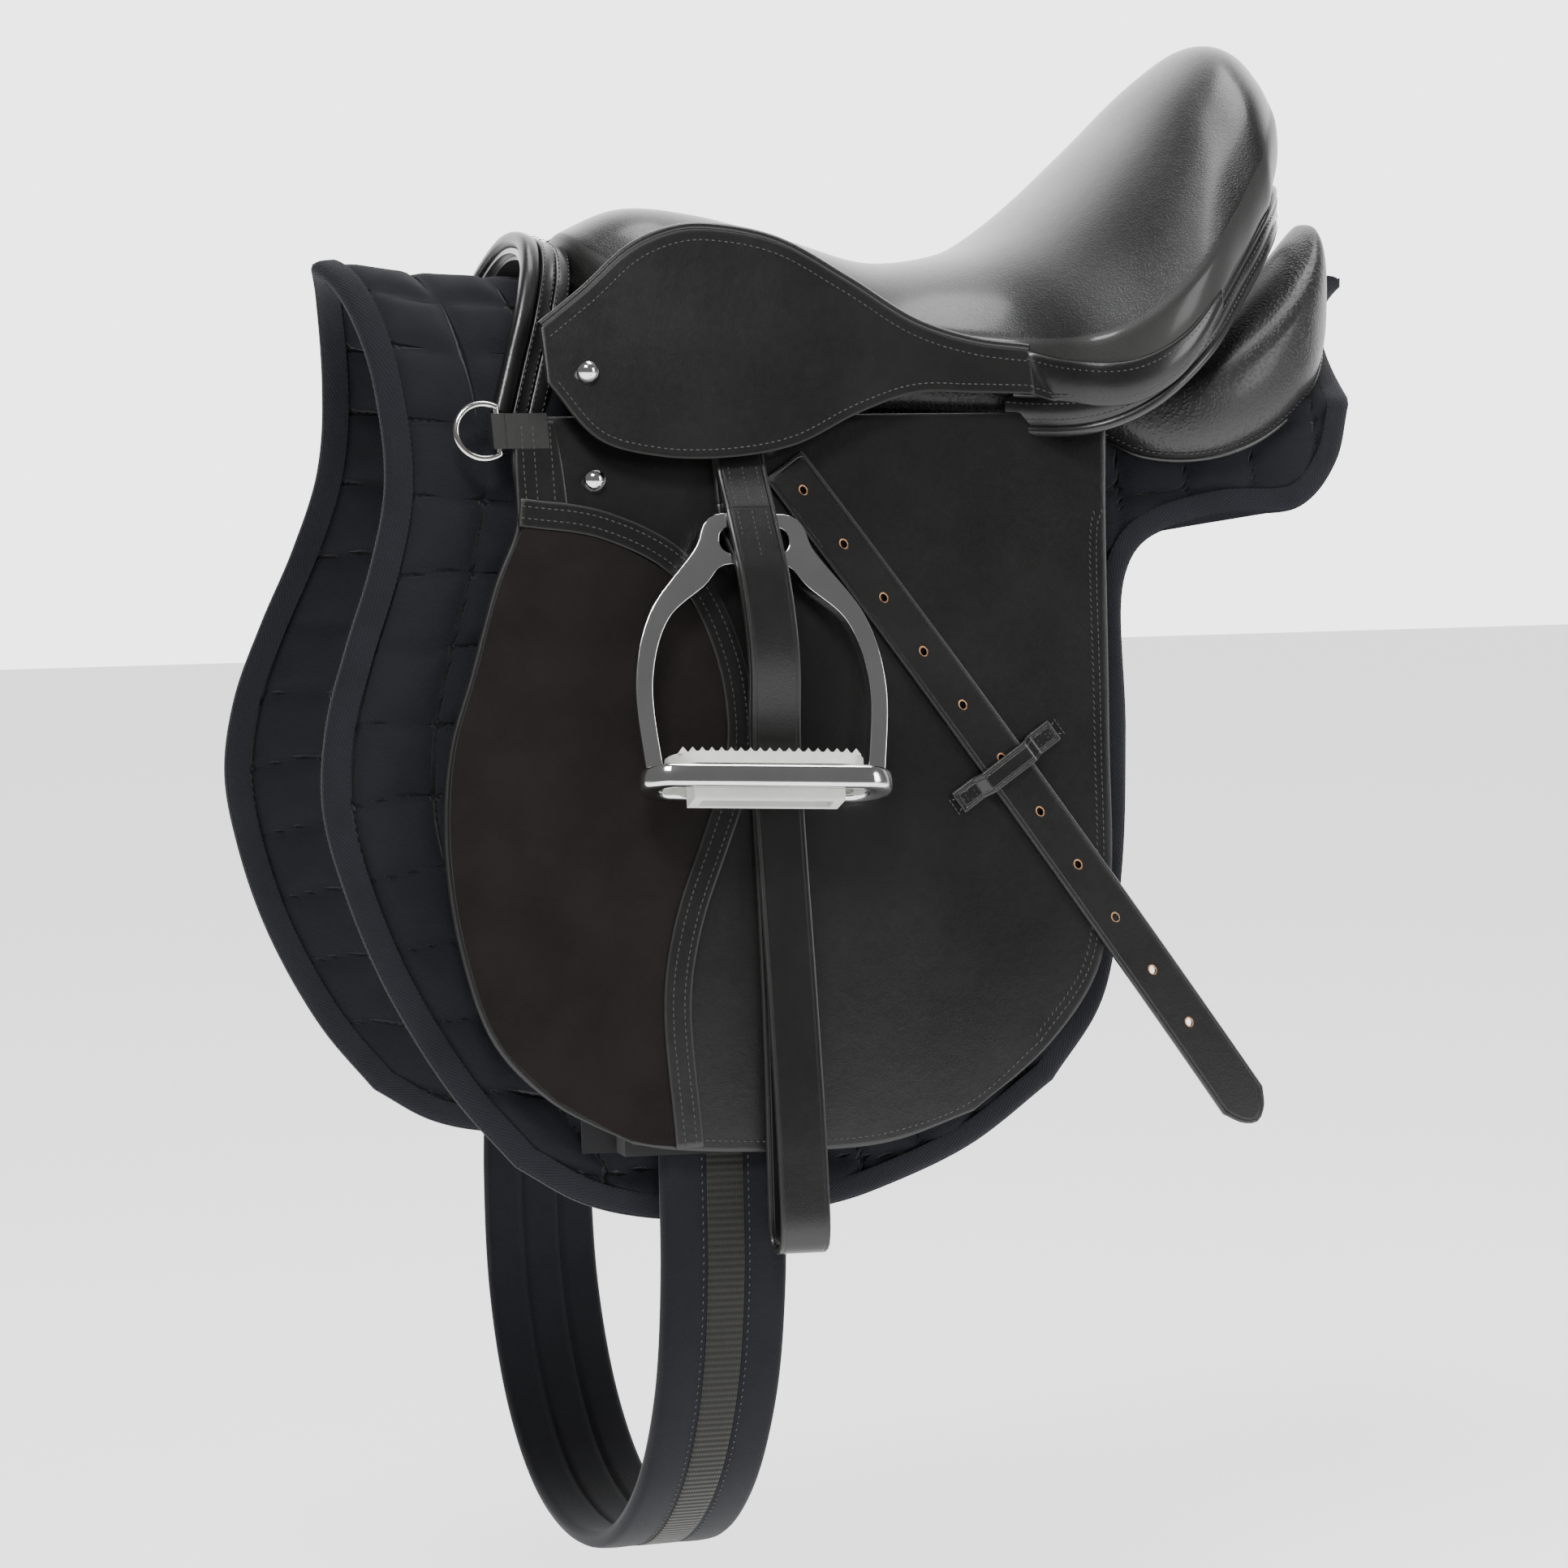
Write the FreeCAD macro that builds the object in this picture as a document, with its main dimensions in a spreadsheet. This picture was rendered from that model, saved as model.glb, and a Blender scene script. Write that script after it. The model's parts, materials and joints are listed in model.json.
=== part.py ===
import FreeCAD, Part
import Sketcher
import math
import os

V = FreeCAD.Vector
doc = FreeCAD.newDocument("EnglishSaddle")
sheet = doc.addObject("Spreadsheet::Sheet", "Sizes")

# Driving sizes, in millimetres and degrees.
# +X is towards the cantle, +Z up, and the horse's spine lies in the plane Y = 0.
sizes = [
    # the side of the horse, which every flat piece follows
    ("shoulderHalf", 85), ("shoulderHeight", 10), ("hemHalf", 162), ("hemHeight", -460),
    ("flareSlope", 0.105), ("layerGap", 0.5),
    # quilted saddle pad
    ("padFront", -288), ("padRear", 333), ("padHem", -409), ("padThick", 10),
    ("padSpineFront", 87), ("padSpineMiddle", 42), ("padSpineRear", 78), ("ridgeHalf", 35),
    ("padStrapWide", 20), ("padStrapThick", 1.6),
    # flaps
    ("flapFront", -233), ("flapRear", 138), ("flapBottom", -372), ("flapTop", 6),
    ("flapThick", 4), ("flapHinge", -38), ("hingeGap", 3), ("patchTop", -48), ("patchThick", 2.3),
    # girth, billets and sweat flap under the flap
    ("sweatThick", 2.5), ("billetThick", 3.3), ("billetWide", 26), ("billetBottom", -300),
    ("girthMiddle", -92), ("girthWide", 66), ("girthThick", 10.2), ("girthBottom", -612),
    ("girthTop", -335), ("girthStrip", 19), ("girthStripThick", 1.4), ("girthSwing", 16), ("girthRoom", 2),
    ("tabWide", 24), ("tabThick", 2.5), ("girthBuckleHeight", -272),
    # skirts
    ("skirtFront", -165), ("skirtRear", 95), ("skirtBottom", -15), ("skirtTop", 103),
    ("skirtThick", 3.5), ("skirtInTop", 25.4), ("skirtInBottom", 33), ("skirtHinge", 17),
    # stirrup leather
    ("strapWide", 26), ("strapThick", 3.2), ("strapMiddle", -60), ("loopBottom", -421),
    ("loopOpening", 21), ("tailAngle", 56), ("tailLength", 392), ("holeWide", 4), ("holePitch", 33.7),
    ("keeperWide", 12), ("keeperThick", 2.5),
    # stirrup iron
    ("ironWide", 132), ("ironTall", 149), ("ironThick", 9), ("ironBar", 9), ("eyeWide", 49),
    ("eyeTall", 27), ("slotWide", 37), ("slotTall", 14), ("baseDeep", 36), ("baseTall", 12),
    ("ironTilt", 21), ("ironRoll", 2), ("ironHeight", -46), ("treadTall", 6), ("toothTall", 3),
    # stirrup bar, catch and buckle
    ("barLong", 52), ("barTall", 8), ("barThick", 6), ("barHeight", 22), ("barInset", 17.5),
    ("catchLong", 14), ("pinRadius", 2), ("runFit", 0.15), ("buckleWire", 2.4),
    # seat and tree
    ("seatFront", -128), ("seatRear", 271), ("cantleHeight", 203), ("seatHalf", 148),
    ("coverThick", 3), ("wallDrop", 30), ("foamThick", 17), ("webThick", 1.7), ("railThick", 8),
    ("bandTall", 15), ("pipingTall", 6), ("panelInner", 25), ("panelRear", 290),
    # pommel arch
    ("archHalf", 75), ("archTall", 104), ("archLean", 19.5), ("rollWide", 10), ("stripWide", 8),
    ("bandWide", 9), ("archThick", 7), ("plateThick", 3),
    # studs and rings
    ("studRadius", 6), ("studTall", 4.5), ("ringHalf", 12), ("ringReach", 22), ("ringWire", 1.7),
]
for row, (alias, value) in enumerate(sizes, 1):
    sheet.set("A%d" % row, alias)
    sheet.set("B%d" % row, str(value))
    sheet.setAlias("B%d" % row, alias)
doc.recompute()


def size(alias):
    return float(sheet.get(alias))


pieces = []          # every sub-part, in the order it is made


def keep(shape, label):
    """A freeform sub-part whose shape is worked out from the sheet."""
    piece = doc.addObject("Part::Feature", label)
    piece.Label = label
    piece.Shape = shape
    pieces.append(piece)
    return piece


def mirrored(piece, label):
    """The same object on the off side of the horse."""
    twin = doc.addObject("Part::Mirroring", label)
    twin.Label = label
    twin.Source = piece
    twin.Normal = V(0, 1, 0)
    twin.Base = V(0, 0, 0)
    return twin


def mirror(piece, label):
    pieces.append(mirrored(piece, label))


def keepPair(shape, name):
    """Two sub-parts, the second of them on the off side."""
    mirror(keep(shape, name + "_left"), name + "_right")


def offSide(shape):
    return shape.mirror(V(0, 0, 0), V(0, 1, 0))


def keepBoth(shape, label):
    """One sub-part made of separate solids, alike on both sides."""
    keep(Part.Compound([shape, offSide(shape)]), label)


# ---------------------------------------------------------------- the side surface
slabFront = -340.0
slabLength = 700.0
flare = size("flareSlope")


def sideHalf(height):
    """Half width of the pad's outer face at x = 0: an arc that is upright at the hem."""
    rise = (height - size("hemHeight")) / (size("shoulderHeight") - size("hemHeight"))
    return size("hemHalf") - (size("hemHalf") - size("shoulderHalf")) * rise ** 2


def sidePoint(x, height, off):
    return V(x, -(sideHalf(height) + flare * x + off), height)


def sideCurve(x, top, bottom, offTop, offBottom):
    """The side's arc from top to bottom, stood off by offTop and offBottom at its ends."""
    middle = 0.5 * (top + bottom)
    tall = top - bottom
    rise = (top - size("hemHeight")) / (size("shoulderHeight") - size("hemHeight"))
    slope = -2 * (size("hemHalf") - size("shoulderHalf")) * rise / (size("shoulderHeight") - size("hemHeight"))
    first = sidePoint(x, top, offTop)
    last = sidePoint(x, bottom, offBottom)
    control = V(x, first.y + slope * tall / 2 - (offBottom - offTop) / 2, middle)
    curve = Part.BezierCurve()
    curve.setPoles([first, control, last])
    return curve.toShape(), first, last


def sideSlab(inner, outer, top, bottom, innerLow=None, outerLow=None):
    """A leather-like slab on the near side between two stand-offs from the pad's face."""
    innerLow = inner if innerLow is None else innerLow
    outerLow = outer if outerLow is None else outerLow
    near, nearTop, nearLow = sideCurve(slabFront, top, bottom, outer, outerLow)
    far, farTop, farLow = sideCurve(slabFront, top, bottom, inner, innerLow)
    lid = Part.makeLine(nearTop, farTop)
    foot = Part.makeLine(nearLow, farLow)
    face = Part.Face(Part.Wire(Part.__sortEdges__([near, foot, far, lid])))
    return face.extrude(V(slabLength, -flare * slabLength, 0))


def outlineWire(runs, y=0.0):
    """A closed wire in the plane of X and Z: two points make a line, more a smooth curve."""
    edges = []
    for run in runs:
        points = [V(x, y, z) for x, z in run]
        if len(points) == 2:
            edges.append(Part.makeLine(*points))
        else:
            curve = Part.BSplineCurve()
            curve.interpolate(points)
            edges.append(curve.toShape())
    return Part.Wire(Part.__sortEdges__(edges))


def prism(runs, y=-460.0, depth=460.0):
    return Part.Face(outlineWire(runs, y)).extrude(V(0, depth, 0))


def block(x0, x1, z0, z1, y=-460.0, depth=460.0):
    return Part.makeBox(x1 - x0, depth, z1 - z0, V(x0, y, z0))


def stretch(runs, drawn, wanted):
    """Moves an outline from the box it is drawn in to the box that the sheet asks for."""
    x0, x1, z0, z1 = drawn
    a0, a1, c0, c1 = wanted

    def place(point):
        return (a0 + (point[0] - x0) * (a1 - a0) / (x1 - x0), c0 + (point[1] - z0) * (c1 - c0) / (z1 - z0))
    return [[place(point) for point in run] for run in runs]


def cylinder(radius, start, direction, length):
    return Part.makeCylinder(radius, length, start, direction)


# ---------------------------------------------------------------- layers on the side
gap = size("layerGap")
sweatIn = gap
sweatOut = sweatIn + size("sweatThick")
billetIn = sweatOut + gap
billetOut = billetIn + size("billetThick")
girthIn = billetIn + 0.3
girthOut = girthIn + size("girthThick")
flapIn = girthOut + size("girthRoom")
flapOut = flapIn + size("flapThick")
backIn = flapOut + gap
backOut = backIn + size("strapThick")
frontIn = backOut + gap
frontOut = frontIn + size("strapThick")
sideBottom = size("hemHeight")

# ---------------------------------------------------------------- saddle pad
spineRows = [
    (-340, size("padSpineFront") + 6), (-264, size("padSpineFront")), (-200, size("padSpineFront") - 7),
    (-150, size("padSpineFront") - 10), (-100, 60), (-40, size("padSpineMiddle") + 4),
    (60, size("padSpineMiddle")), (150, size("padSpineMiddle") + 2), (220, 56),
    (290, size("padSpineRear") - 8), (360, size("padSpineRear") + 3),
]


def padSection(x, spine, off, thick):
    """Half of the pad's section: over the spine, round the shoulder and down the side."""
    edges = []
    corners = []
    for depth in (-off, thick):
        top = V(x, 0, spine - depth)
        ridge = V(x, -size("ridgeHalf"), spine - 0.66 * size("ridgeHalf") - depth)
        shoulder = sidePoint(x, size("shoulderHeight"), -depth)
        roof = Part.BSplineCurve()
        roof.interpolate([top, ridge, shoulder])
        side, first, last = sideCurve(x, size("shoulderHeight"), sideBottom, -depth, -depth)
        edges.append([roof.toShape(), side])
        corners.append((top, last))
    lid = Part.makeLine(corners[0][0], corners[1][0])
    foot = Part.makeLine(corners[0][1], corners[1][1])
    return Part.Wire([edges[0][0], edges[0][1], foot, edges[1][1], edges[1][0], lid])


def padShell(off, thick):
    sections = [padSection(x, spine, off, thick) for x, spine in spineRows]
    return Part.makeLoft(sections, True, True)


padRuns = stretch([
    [(-264, 87), (-254, 55), (-244, 12), (-244, -30), (-255, -71), (-271, -112), (-284, -152),
     (-288, -193), (-279, -235), (-260, -285), (-228, -340), (-196, -378), (-162, -398),
     (-128, -407), (-85, -409), (-29, -404), (2, -395), (46, -376), (91, -344), (120, -302),
     (134, -234), (141, -162), (147, -73)],
    [(147, -73), (202, -50), (257, -45), (273, -23), (286, 12), (308, 46), (333, 78)],
    [(333, 78), (333, 130)], [(333, 130), (-264, 130)], [(-264, 130), (-264, 87)],
], (-288, 333, -409, 130), (size("padFront"), size("padRear"), size("padHem"), 130))
keepPair(padShell(0, size("padThick")).common(prism(padRuns)), "pad")
padCore = padShell(0.4, 60)          # the pad and all that is under it, which nothing else enters
farCore = offSide(padCore)

# ---------------------------------------------------------------- flap, sweat flap, patch
flapBox = (-233, 138, -372, 6)
flapWanted = (size("flapFront"), size("flapRear"), size("flapBottom"), size("flapTop"))
flapRuns = stretch([
    [(-180, 6), (-183, -13), (-184, -48), (-198, -79), (-214, -124), (-228, -164), (-233, -213),
     (-227, -267), (-212, -312), (-184, -342), (-142, -365), (-119, -369)],
    [(-119, -369), (-48, -372), (-5, -369), (39, -355), (80, -323), (108, -286), (118, -244),
     (123, -160), (131, -55), (138, 6)],
    [(138, 6), (-180, 6)],
], flapBox, flapWanted)
flapSlab = sideSlab(flapIn, flapOut, size("flapTop"), sideBottom).common(prism(flapRuns))
hinge = size("flapHinge")
upper = block(-400, 400, hinge + size("hingeGap") / 2, 60)
lower = block(-400, 400, -500, hinge - size("hingeGap") / 2)
strapFront = size("strapMiddle") - size("strapWide") / 2
strapRear = size("strapMiddle") + size("strapWide") / 2
notch = block(strapFront - 4, strapRear + 4, size("skirtBottom") - 4, 40)
keepPair(flapSlab.common(upper).cut(notch), "flap_top")
keepPair(flapSlab.common(lower), "flap")

weltRun = [(-183, -48), (-141, -55), (-104, -76), (-86, -114), (-82, -155), (-87, -180), (-97, -205),
           (-115, -250), (-123, -291), (-119, -369)]
patchRuns = stretch([weltRun, [(-119, -369), (-119, -420)], [(-119, -420), (-300, -420)],
                     [(-300, -420), (-300, -48)], [(-300, -48), (-183, -48)]], flapBox, flapWanted)
flapInside = (flapWanted[0] + 2, flapWanted[1] - 2, flapWanted[2] + 2, flapWanted[3])
insideFlap = stretch(flapRuns, flapWanted, flapInside)
patch = sideSlab(flapOut, flapOut + size("patchThick"), size("patchTop"), sideBottom)
keepPair(patch.common(prism(insideFlap)).common(prism(patchRuns)), "knee_patch")

sweatRuns = stretch([
    [(-150, -20), (-178, -120), (-190, -210), (-170, -290), (-100, -336), (0, -336), (70, -290),
     (95, -200), (104, -20)],
    [(104, -20), (-150, -20)],
], (-190, 104, -336, -20), (size("flapFront") + 43, size("flapRear") - 34, size("flapBottom") + 36, -20))
sweat = sideSlab(sweatIn, sweatOut, -20, sideBottom).common(prism(sweatRuns))
keepPair(sweat, "sweat_flap")

# ---------------------------------------------------------------- billets and girth
girthMiddle = size("girthMiddle")
tabPitch = size("girthWide") / 2
billetSlab = sideSlab(billetIn, billetOut, -22, sideBottom)
billets = []
for side in (-1, 1):
    middle = girthMiddle + side * tabPitch / 2 + side
    half = size("billetWide") / 2
    low = size("billetBottom")
    strap = prism([[(middle - half, -22), (middle - half, low)], [(middle - half, low), (middle, low - 14)],
                   [(middle, low - 14), (middle + half, low)], [(middle + half, low), (middle + half, -22)],
                   [(middle + half, -22), (middle - half, -22)]])
    billets.append(billetSlab.common(strap))
keepPair(Part.Compound(billets), "billets")


def girthSection(outerOff, innerOff, x):
    """The girth's closed outline, a U that hangs from both sides."""
    curves = []
    ends = []
    for off in (outerOff, innerOff):
        bottom = size("girthBottom") + girthOut - off
        topPoint = sidePoint(x, size("girthTop"), off)
        lowPoint = sidePoint(x, -440, off)
        tall = lowPoint.z - bottom
        points = [topPoint, sidePoint(x, -390, off), lowPoint]
        for turn in (22.5, 45, 67.5, 90):
            angle = math.radians(turn)
            points.append(V(x, lowPoint.y * math.cos(angle) ** 0.9, lowPoint.z - tall * math.sin(angle) ** 1.05)
                          if turn < 90 else V(x, 0, bottom))
        points += [V(x, -p.y, p.z) for p in reversed(points[:-1])]
        curve = Part.BSplineCurve()
        curve.interpolate(points)
        curves.append(curve.toShape())
        ends.append((points[0], points[-1]))
    first = Part.makeLine(ends[0][0], ends[1][0])
    last = Part.makeLine(ends[0][1], ends[1][1])
    return Part.Wire([curves[0], last, curves[1], first])


def girthBand(outerOff, innerOff, front, rear):
    ends = [girthSection(outerOff, innerOff, front), girthSection(outerOff, innerOff, rear)]
    return Part.makeLoft(ends, True, True)


girthFront = girthMiddle - size("girthWide") / 2
girthRear = girthMiddle + size("girthWide") / 2
stripHalf = size("girthStrip") / 2
stripIn = girthOut - size("girthStripThick")
groove = girthBand(girthOut + 3, stripIn, girthMiddle - stripHalf, girthMiddle + stripHalf)
keep(girthBand(girthOut, girthIn, girthFront, girthRear).cut(groove), "girth_sleeve")
keep(girthBand(girthOut, stripIn, girthMiddle - stripHalf, girthMiddle + stripHalf), "girth_webbing")

tabTop = size("girthBuckleHeight") - 12
tabSlab = sideSlab(girthIn + 4.4, girthIn + 4.4 + size("tabThick"), -200, sideBottom)
tabs = []
frames = []
for side in (-1, 1):
    middle = girthMiddle + side * tabPitch / 2 + side
    tab = tabSlab.common(block(middle - size("tabWide") / 2, middle + size("tabWide") / 2, size("girthTop"), tabTop))
    tabs += [tab, offSide(tab)]
    frameOuter = block(middle - 16, middle + 16, tabTop - 2, tabTop + 30)
    frameInner = block(middle - 13.2, middle + 13.2, tabTop + 3, tabTop + 26)
    wire = sideSlab(girthIn + 4.2, girthIn + 7.8, -200, sideBottom)
    tongue = block(middle - 1.3, middle + 1.3, tabTop + 2, tabTop + 27)
    frame = wire.common(frameOuter).cut(wire.common(frameInner))
    frame = frame.fuse(sideSlab(girthIn + 4.6, girthIn + 7, -200, sideBottom).common(tongue)).cut(tab)
    frames += [frame, offSide(frame)]
keep(Part.Compound(tabs), "girth_tabs")
keep(Part.Compound(frames), "girth_buckles")

# webbing that holds the girth on the pad
keeperFront = girthFront - size("girthSwing")
keeperRear = girthRear + size("girthSwing")
keeperHigh = -352
strapLow = keeperHigh - size("padStrapWide")
over = sideSlab(girthOut + 1, flapIn - gap, -300, sideBottom)
ends = sideSlab(0.05, flapIn - gap, -300, sideBottom)
keeper = over.common(block(keeperFront - 4, keeperRear + 4, strapLow, keeperHigh))
for x in (keeperFront - 4, keeperRear):
    keeper = keeper.fuse(ends.common(block(x, x + 4, strapLow, keeperHigh)))
for x in (keeperFront - 22, keeperRear):
    foot = sideSlab(0.05, 0.05 + size("padStrapThick"), -300, sideBottom)
    keeper = keeper.fuse(foot.common(block(x, x + 22, strapLow, keeperHigh)))
keepBoth(keeper, "pad_girth_loops")

# ---------------------------------------------------------------- seat, built of layers under its top
seatRows = [      # x, top, half width, height of the rim at the side
    (-128, 100, 46, 78), (-95, 113, 52, 84), (-54, 110, 58, 80), (-3, 97, 66, 68), (44, 84, 84, 52),
    (92, 88, 113, 44), (122, 100, 142, 46), (152, 122, 148, 58), (187, 155, 140, 84),
    (217, 186, 118, 114), (243, 203, 96, 142), (260, 198, 72, 152), (271, 182, 48, 152),
]
seatDrawn = (-128, 271, 0, 203)
seatWanted = (size("seatFront"), size("seatRear"), 0, size("cantleHeight"))


def seatStation(row):
    x, top, half, rim = row
    (place, high), (_, side) = stretch([[(x, top), (x, rim)]], seatDrawn, seatWanted)[0]
    return place, high, half * size("seatHalf") / 148, side


def seatSection(row, high, low, inner, outer, inset):
    """A closed section that follows the seat's crown, from high to low under its top."""
    x, top, half, rim = seatStation(row)
    reach = (half - inset) * outer
    start = (half - inset) * inner

    def crown(y, depth):
        return V(x, y, rim + (top - rim) * (1 - abs(y / half) ** 2.2) - depth)
    steps = [start + (reach - start) * i / 6 for i in range(7)] if inner else \
        [reach * i / 6 for i in range(-6, 7)]
    points = [crown(y, high) for y in steps] + [crown(y, low) for y in reversed(steps)]
    return Part.makePolygon(points + points[:1])


def seatLayer(high, low, inner=0.0, outer=1.0, inset=0.0, front=-200, rear=400):
    """Solid between two depths under the seat's top; inner and outer are shares of its half width."""
    sections = [seatSection(row, high, low, inner, outer, inset) for row in seatRows if front <= row[0] <= rear]
    return Part.makeLoft(sections, True, True)


cover = size("coverThick")
wall = size("wallDrop")
foamTop = cover + 0.3
foamLow = foamTop + size("foamThick")
webLow = foamLow + 0.3 + size("webThick")
railTop = webLow + 0.3
railLow = railTop + size("railThick")
seatSolid = seatLayer(0, wall)
hollow = seatLayer(cover, wall + 30, inset=cover, front=-95, rear=260)
keep(seatSolid.cut(hollow), "seat_cover")
keep(seatLayer(foamTop, foamLow, outer=0.93, inset=cover, front=-95, rear=243), "seat_foam")
keep(seatLayer(foamLow + 0.3, webLow, outer=0.55, inset=cover, front=-54, rear=187), "seat_webbing")
rails = seatLayer(railTop, railLow, inner=0.34, outer=0.6, inset=cover, front=-95, rear=217)
cantle = seatLayer(railTop, railLow, outer=0.8, inset=cover, front=187, rear=243)
pommelBoard = seatLayer(railTop, railLow, outer=0.6, inset=cover, front=-95, rear=-54)
lugs = []
for x in (-94, -66):
    lug = Part.makePolygon([V(x, -24, 86), V(x, -29, 86), V(x, -56, 38), V(x, -56, 22.5), V(x, -50, 22.5),
                            V(x, -50, 36), V(x, -24, 86)])
    lug = Part.Face(lug).extrude(V(8, 0, 0))
    lugs += [lug, offSide(lug)]
tree = rails.fuse([offSide(rails), cantle, pommelBoard] + lugs).cut(padCore).cut(farCore)
keep(tree, "tree_frame")


def rimBand(high, tall, thick, label, outset=0.0):
    """A strip that runs round the back of the seat under its rim."""
    outer = seatLayer(high, high + tall, inset=-outset, front=110)
    inner = seatLayer(high - 5, high + tall + 5, inset=thick - outset, front=110, rear=260)
    return keep(outer.cut(inner), label)


rimBand(wall + gap, size("bandTall"), 4, "cantle_band")
rimBand(wall + 2 * gap + size("bandTall"), size("pipingTall"), 6, "cantle_piping", 3)

# ---------------------------------------------------------------- skirts
skirtRuns = stretch([
    [(-165, 52), (-140, 70), (-112, 92), (-90, 101), (-72, 103), (-34, 96), (2, 75), (35, 53), (65, 43), (95, 39)],
    [(95, 39), (95, 16)],
    [(95, 16), (60, 17), (30, 17), (-2, 7), (-38, -9), (-74, -15), (-112, -14), (-142, -5), (-165, 24)],
    [(-165, 24), (-165, 52)],
], (-165, 95, -15, 103), (size("skirtFront"), size("skirtRear"), size("skirtBottom"), size("skirtTop")))
skirtThick = size("skirtThick")
skirtSlab = sideSlab(size("skirtInTop"), size("skirtInTop") + skirtThick, 110, -22,
                     size("skirtInBottom"), size("skirtInBottom") + skirtThick)
skirt = skirtSlab.common(prism(skirtRuns))
skirtHinge = size("skirtHinge")
lobe = skirt.common(block(-400, 36, -100, skirtHinge - size("hingeGap") / 2))
keepPair(lobe, "skirt")
fixed = skirt.cut(block(-400, 37, -100, skirtHinge + size("hingeGap") / 2))
keepPair(fixed.cut(seatSolid), "skirt_top")


# ---------------------------------------------------------------- stirrup leather
def bandSolid(route, thick, front, wide):
    """A strap on edge: its route is given as (stand-off, height) points along its middle."""
    points = [sidePoint(front, z, off) for off, z in route]
    middle = Part.BSplineCurve()
    middle.interpolate(points)
    first, last = middle.FirstParameter, middle.LastParameter
    sides = ([], [])
    for i in range(101):
        at = first + (last - first) * i / 100
        here = middle.value(at)
        along = middle.tangent(at)[0]
        across = V(0, -along.z, along.y)
        for sign, side in ((1, sides[0]), (-1, sides[1])):
            side.append(here + across * (sign * thick / 2))
    outline = sides[0] + list(reversed(sides[1]))
    return Part.Face(Part.makePolygon(outline + outline[:1])).extrude(V(wide, -flare * wide, 0))


strapThick = size("strapThick")
strapWide = size("strapWide")
backMid = backIn + strapThick / 2
frontMid = frontIn + strapThick / 2
strapTop = hinge - size("hingeGap") / 2
crownHeight = size("ironHeight")
slotMiddle = crownHeight - 7 - size("slotTall") / 2
loopOpening = size("loopOpening")
loopLow = size("loopBottom")
curl = (loopOpening - 3) / 2           # radius of the turn at the bottom of the loop
curlMiddle = backMid + 2.2 + curl
route = [
    (frontMid + 9.5, strapTop), (frontMid + 13, crownHeight - 4), (frontMid + 16, slotMiddle - 2),
    (frontMid + 18, slotMiddle - 14), (frontMid + 14, -110), (frontMid + 4.5, -150), (frontMid + 1, -175),
    (frontMid + 0.6, -205), (frontMid + 3, -250), (frontMid + 8, -310), (frontMid + loopOpening - 7, -370),
]
for turn in range(0, 181, 45):
    angle = math.radians(turn)
    route.append((curlMiddle + curl * math.cos(angle), loopLow + curl - curl * math.sin(angle)))
route += [
    (backMid + 0.7, loopLow + 30), (backMid + 0.2, -370), (backMid + 0.2, -310), (backMid + 0.2, -250),
    (backMid + 0.2, -205), (backMid + 0.4, -178), (backMid + 3, -152),
    (backMid + 14, -110), (backMid + 17.5, slotMiddle - 16), (backMid + 16.5, slotMiddle - 9),
    (backMid + 9, slotMiddle), (backMid + 2.6, slotMiddle + 6), (backMid + 0.6, slotMiddle + 11),
    (backMid + 0.1, slotMiddle + 16), (backMid, strapTop),
]
loop = bandSolid(route, strapThick, strapFront, strapWide)
keepPair(loop, "leather_loop")

# the two runs from the hinge line up to the bar, and the buckle's fold
barTop = size("barHeight") + size("barTall")
barMid = size("barInset") + size("barThick") / 2
fold = size("skirtBottom") - 2       # the leather bends between here and the hinge line
wrap = size("barThick") / 2 + 0.6 + strapThick / 2


def upright(off, height):
    """Stand-off of a point that stays level with the bar's middle while the side leans."""
    return off + sideHalf(size("barHeight")) - sideHalf(height), height


upperRoute = [(frontMid + 1, fold), (frontMid + 0.2, fold + 8), (frontMid, 2),
              upright(barMid + wrap, size("barHeight"))]
for turn in range(0, 181, 30):
    angle = math.radians(turn)
    upperRoute.append(upright(barMid + wrap * math.cos(angle), barTop - 1.5 + wrap * math.sin(angle)))
upperRoute += [upright(barMid - wrap, size("barHeight") - 2), (backMid - 4, 3), (backMid, fold + 6),
               (backMid, fold)]
keepPair(bandSolid(upperRoute, strapThick, strapFront, strapWide), "leather_top")

buckleHalf = strapWide / 2 + 0.6 + size("buckleWire")
buckleIn = frontOut + 0.6
buckleSlab = sideSlab(buckleIn - 2, buckleIn + size("buckleWire"), 100, -60)
buckleX = size("strapMiddle")
buckleLow = -9
buckleHigh = 17
loopOuter = block(buckleX - buckleHalf, buckleX + buckleHalf, buckleLow, buckleHigh)
sideBars = block(buckleX - strapWide / 2 - 0.6, buckleX + strapWide / 2 + 0.6, -20, 20)
crossBars = sideSlab(buckleIn, buckleIn + size("buckleWire"), 100, -60)
frame = buckleSlab.common(loopOuter).cut(buckleSlab.common(sideBars))
for low in (buckleLow, buckleHigh - size("buckleWire")):
    barBlock = block(buckleX - buckleHalf, buckleX + buckleHalf, low, low + size("buckleWire"))
    frame = frame.fuse(crossBars.common(barBlock))
frame = frame.fuse(crossBars.common(block(buckleX - 1.2, buckleX + 1.2, buckleLow, buckleHigh)))
keepBoth(frame, "leather_buckles")

# the free end, its holes and the keeper on the flap
tailAngle = math.radians(size("tailAngle"))
along = V(math.cos(tailAngle), 0, -math.sin(tailAngle))
across = V(math.sin(tailAngle), 0, math.cos(tailAngle))
tailStart = V(-27, 0, -41)


def tailPoint(distance, side):
    point = tailStart + along * distance + across * side
    return point.x, point.z


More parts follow.
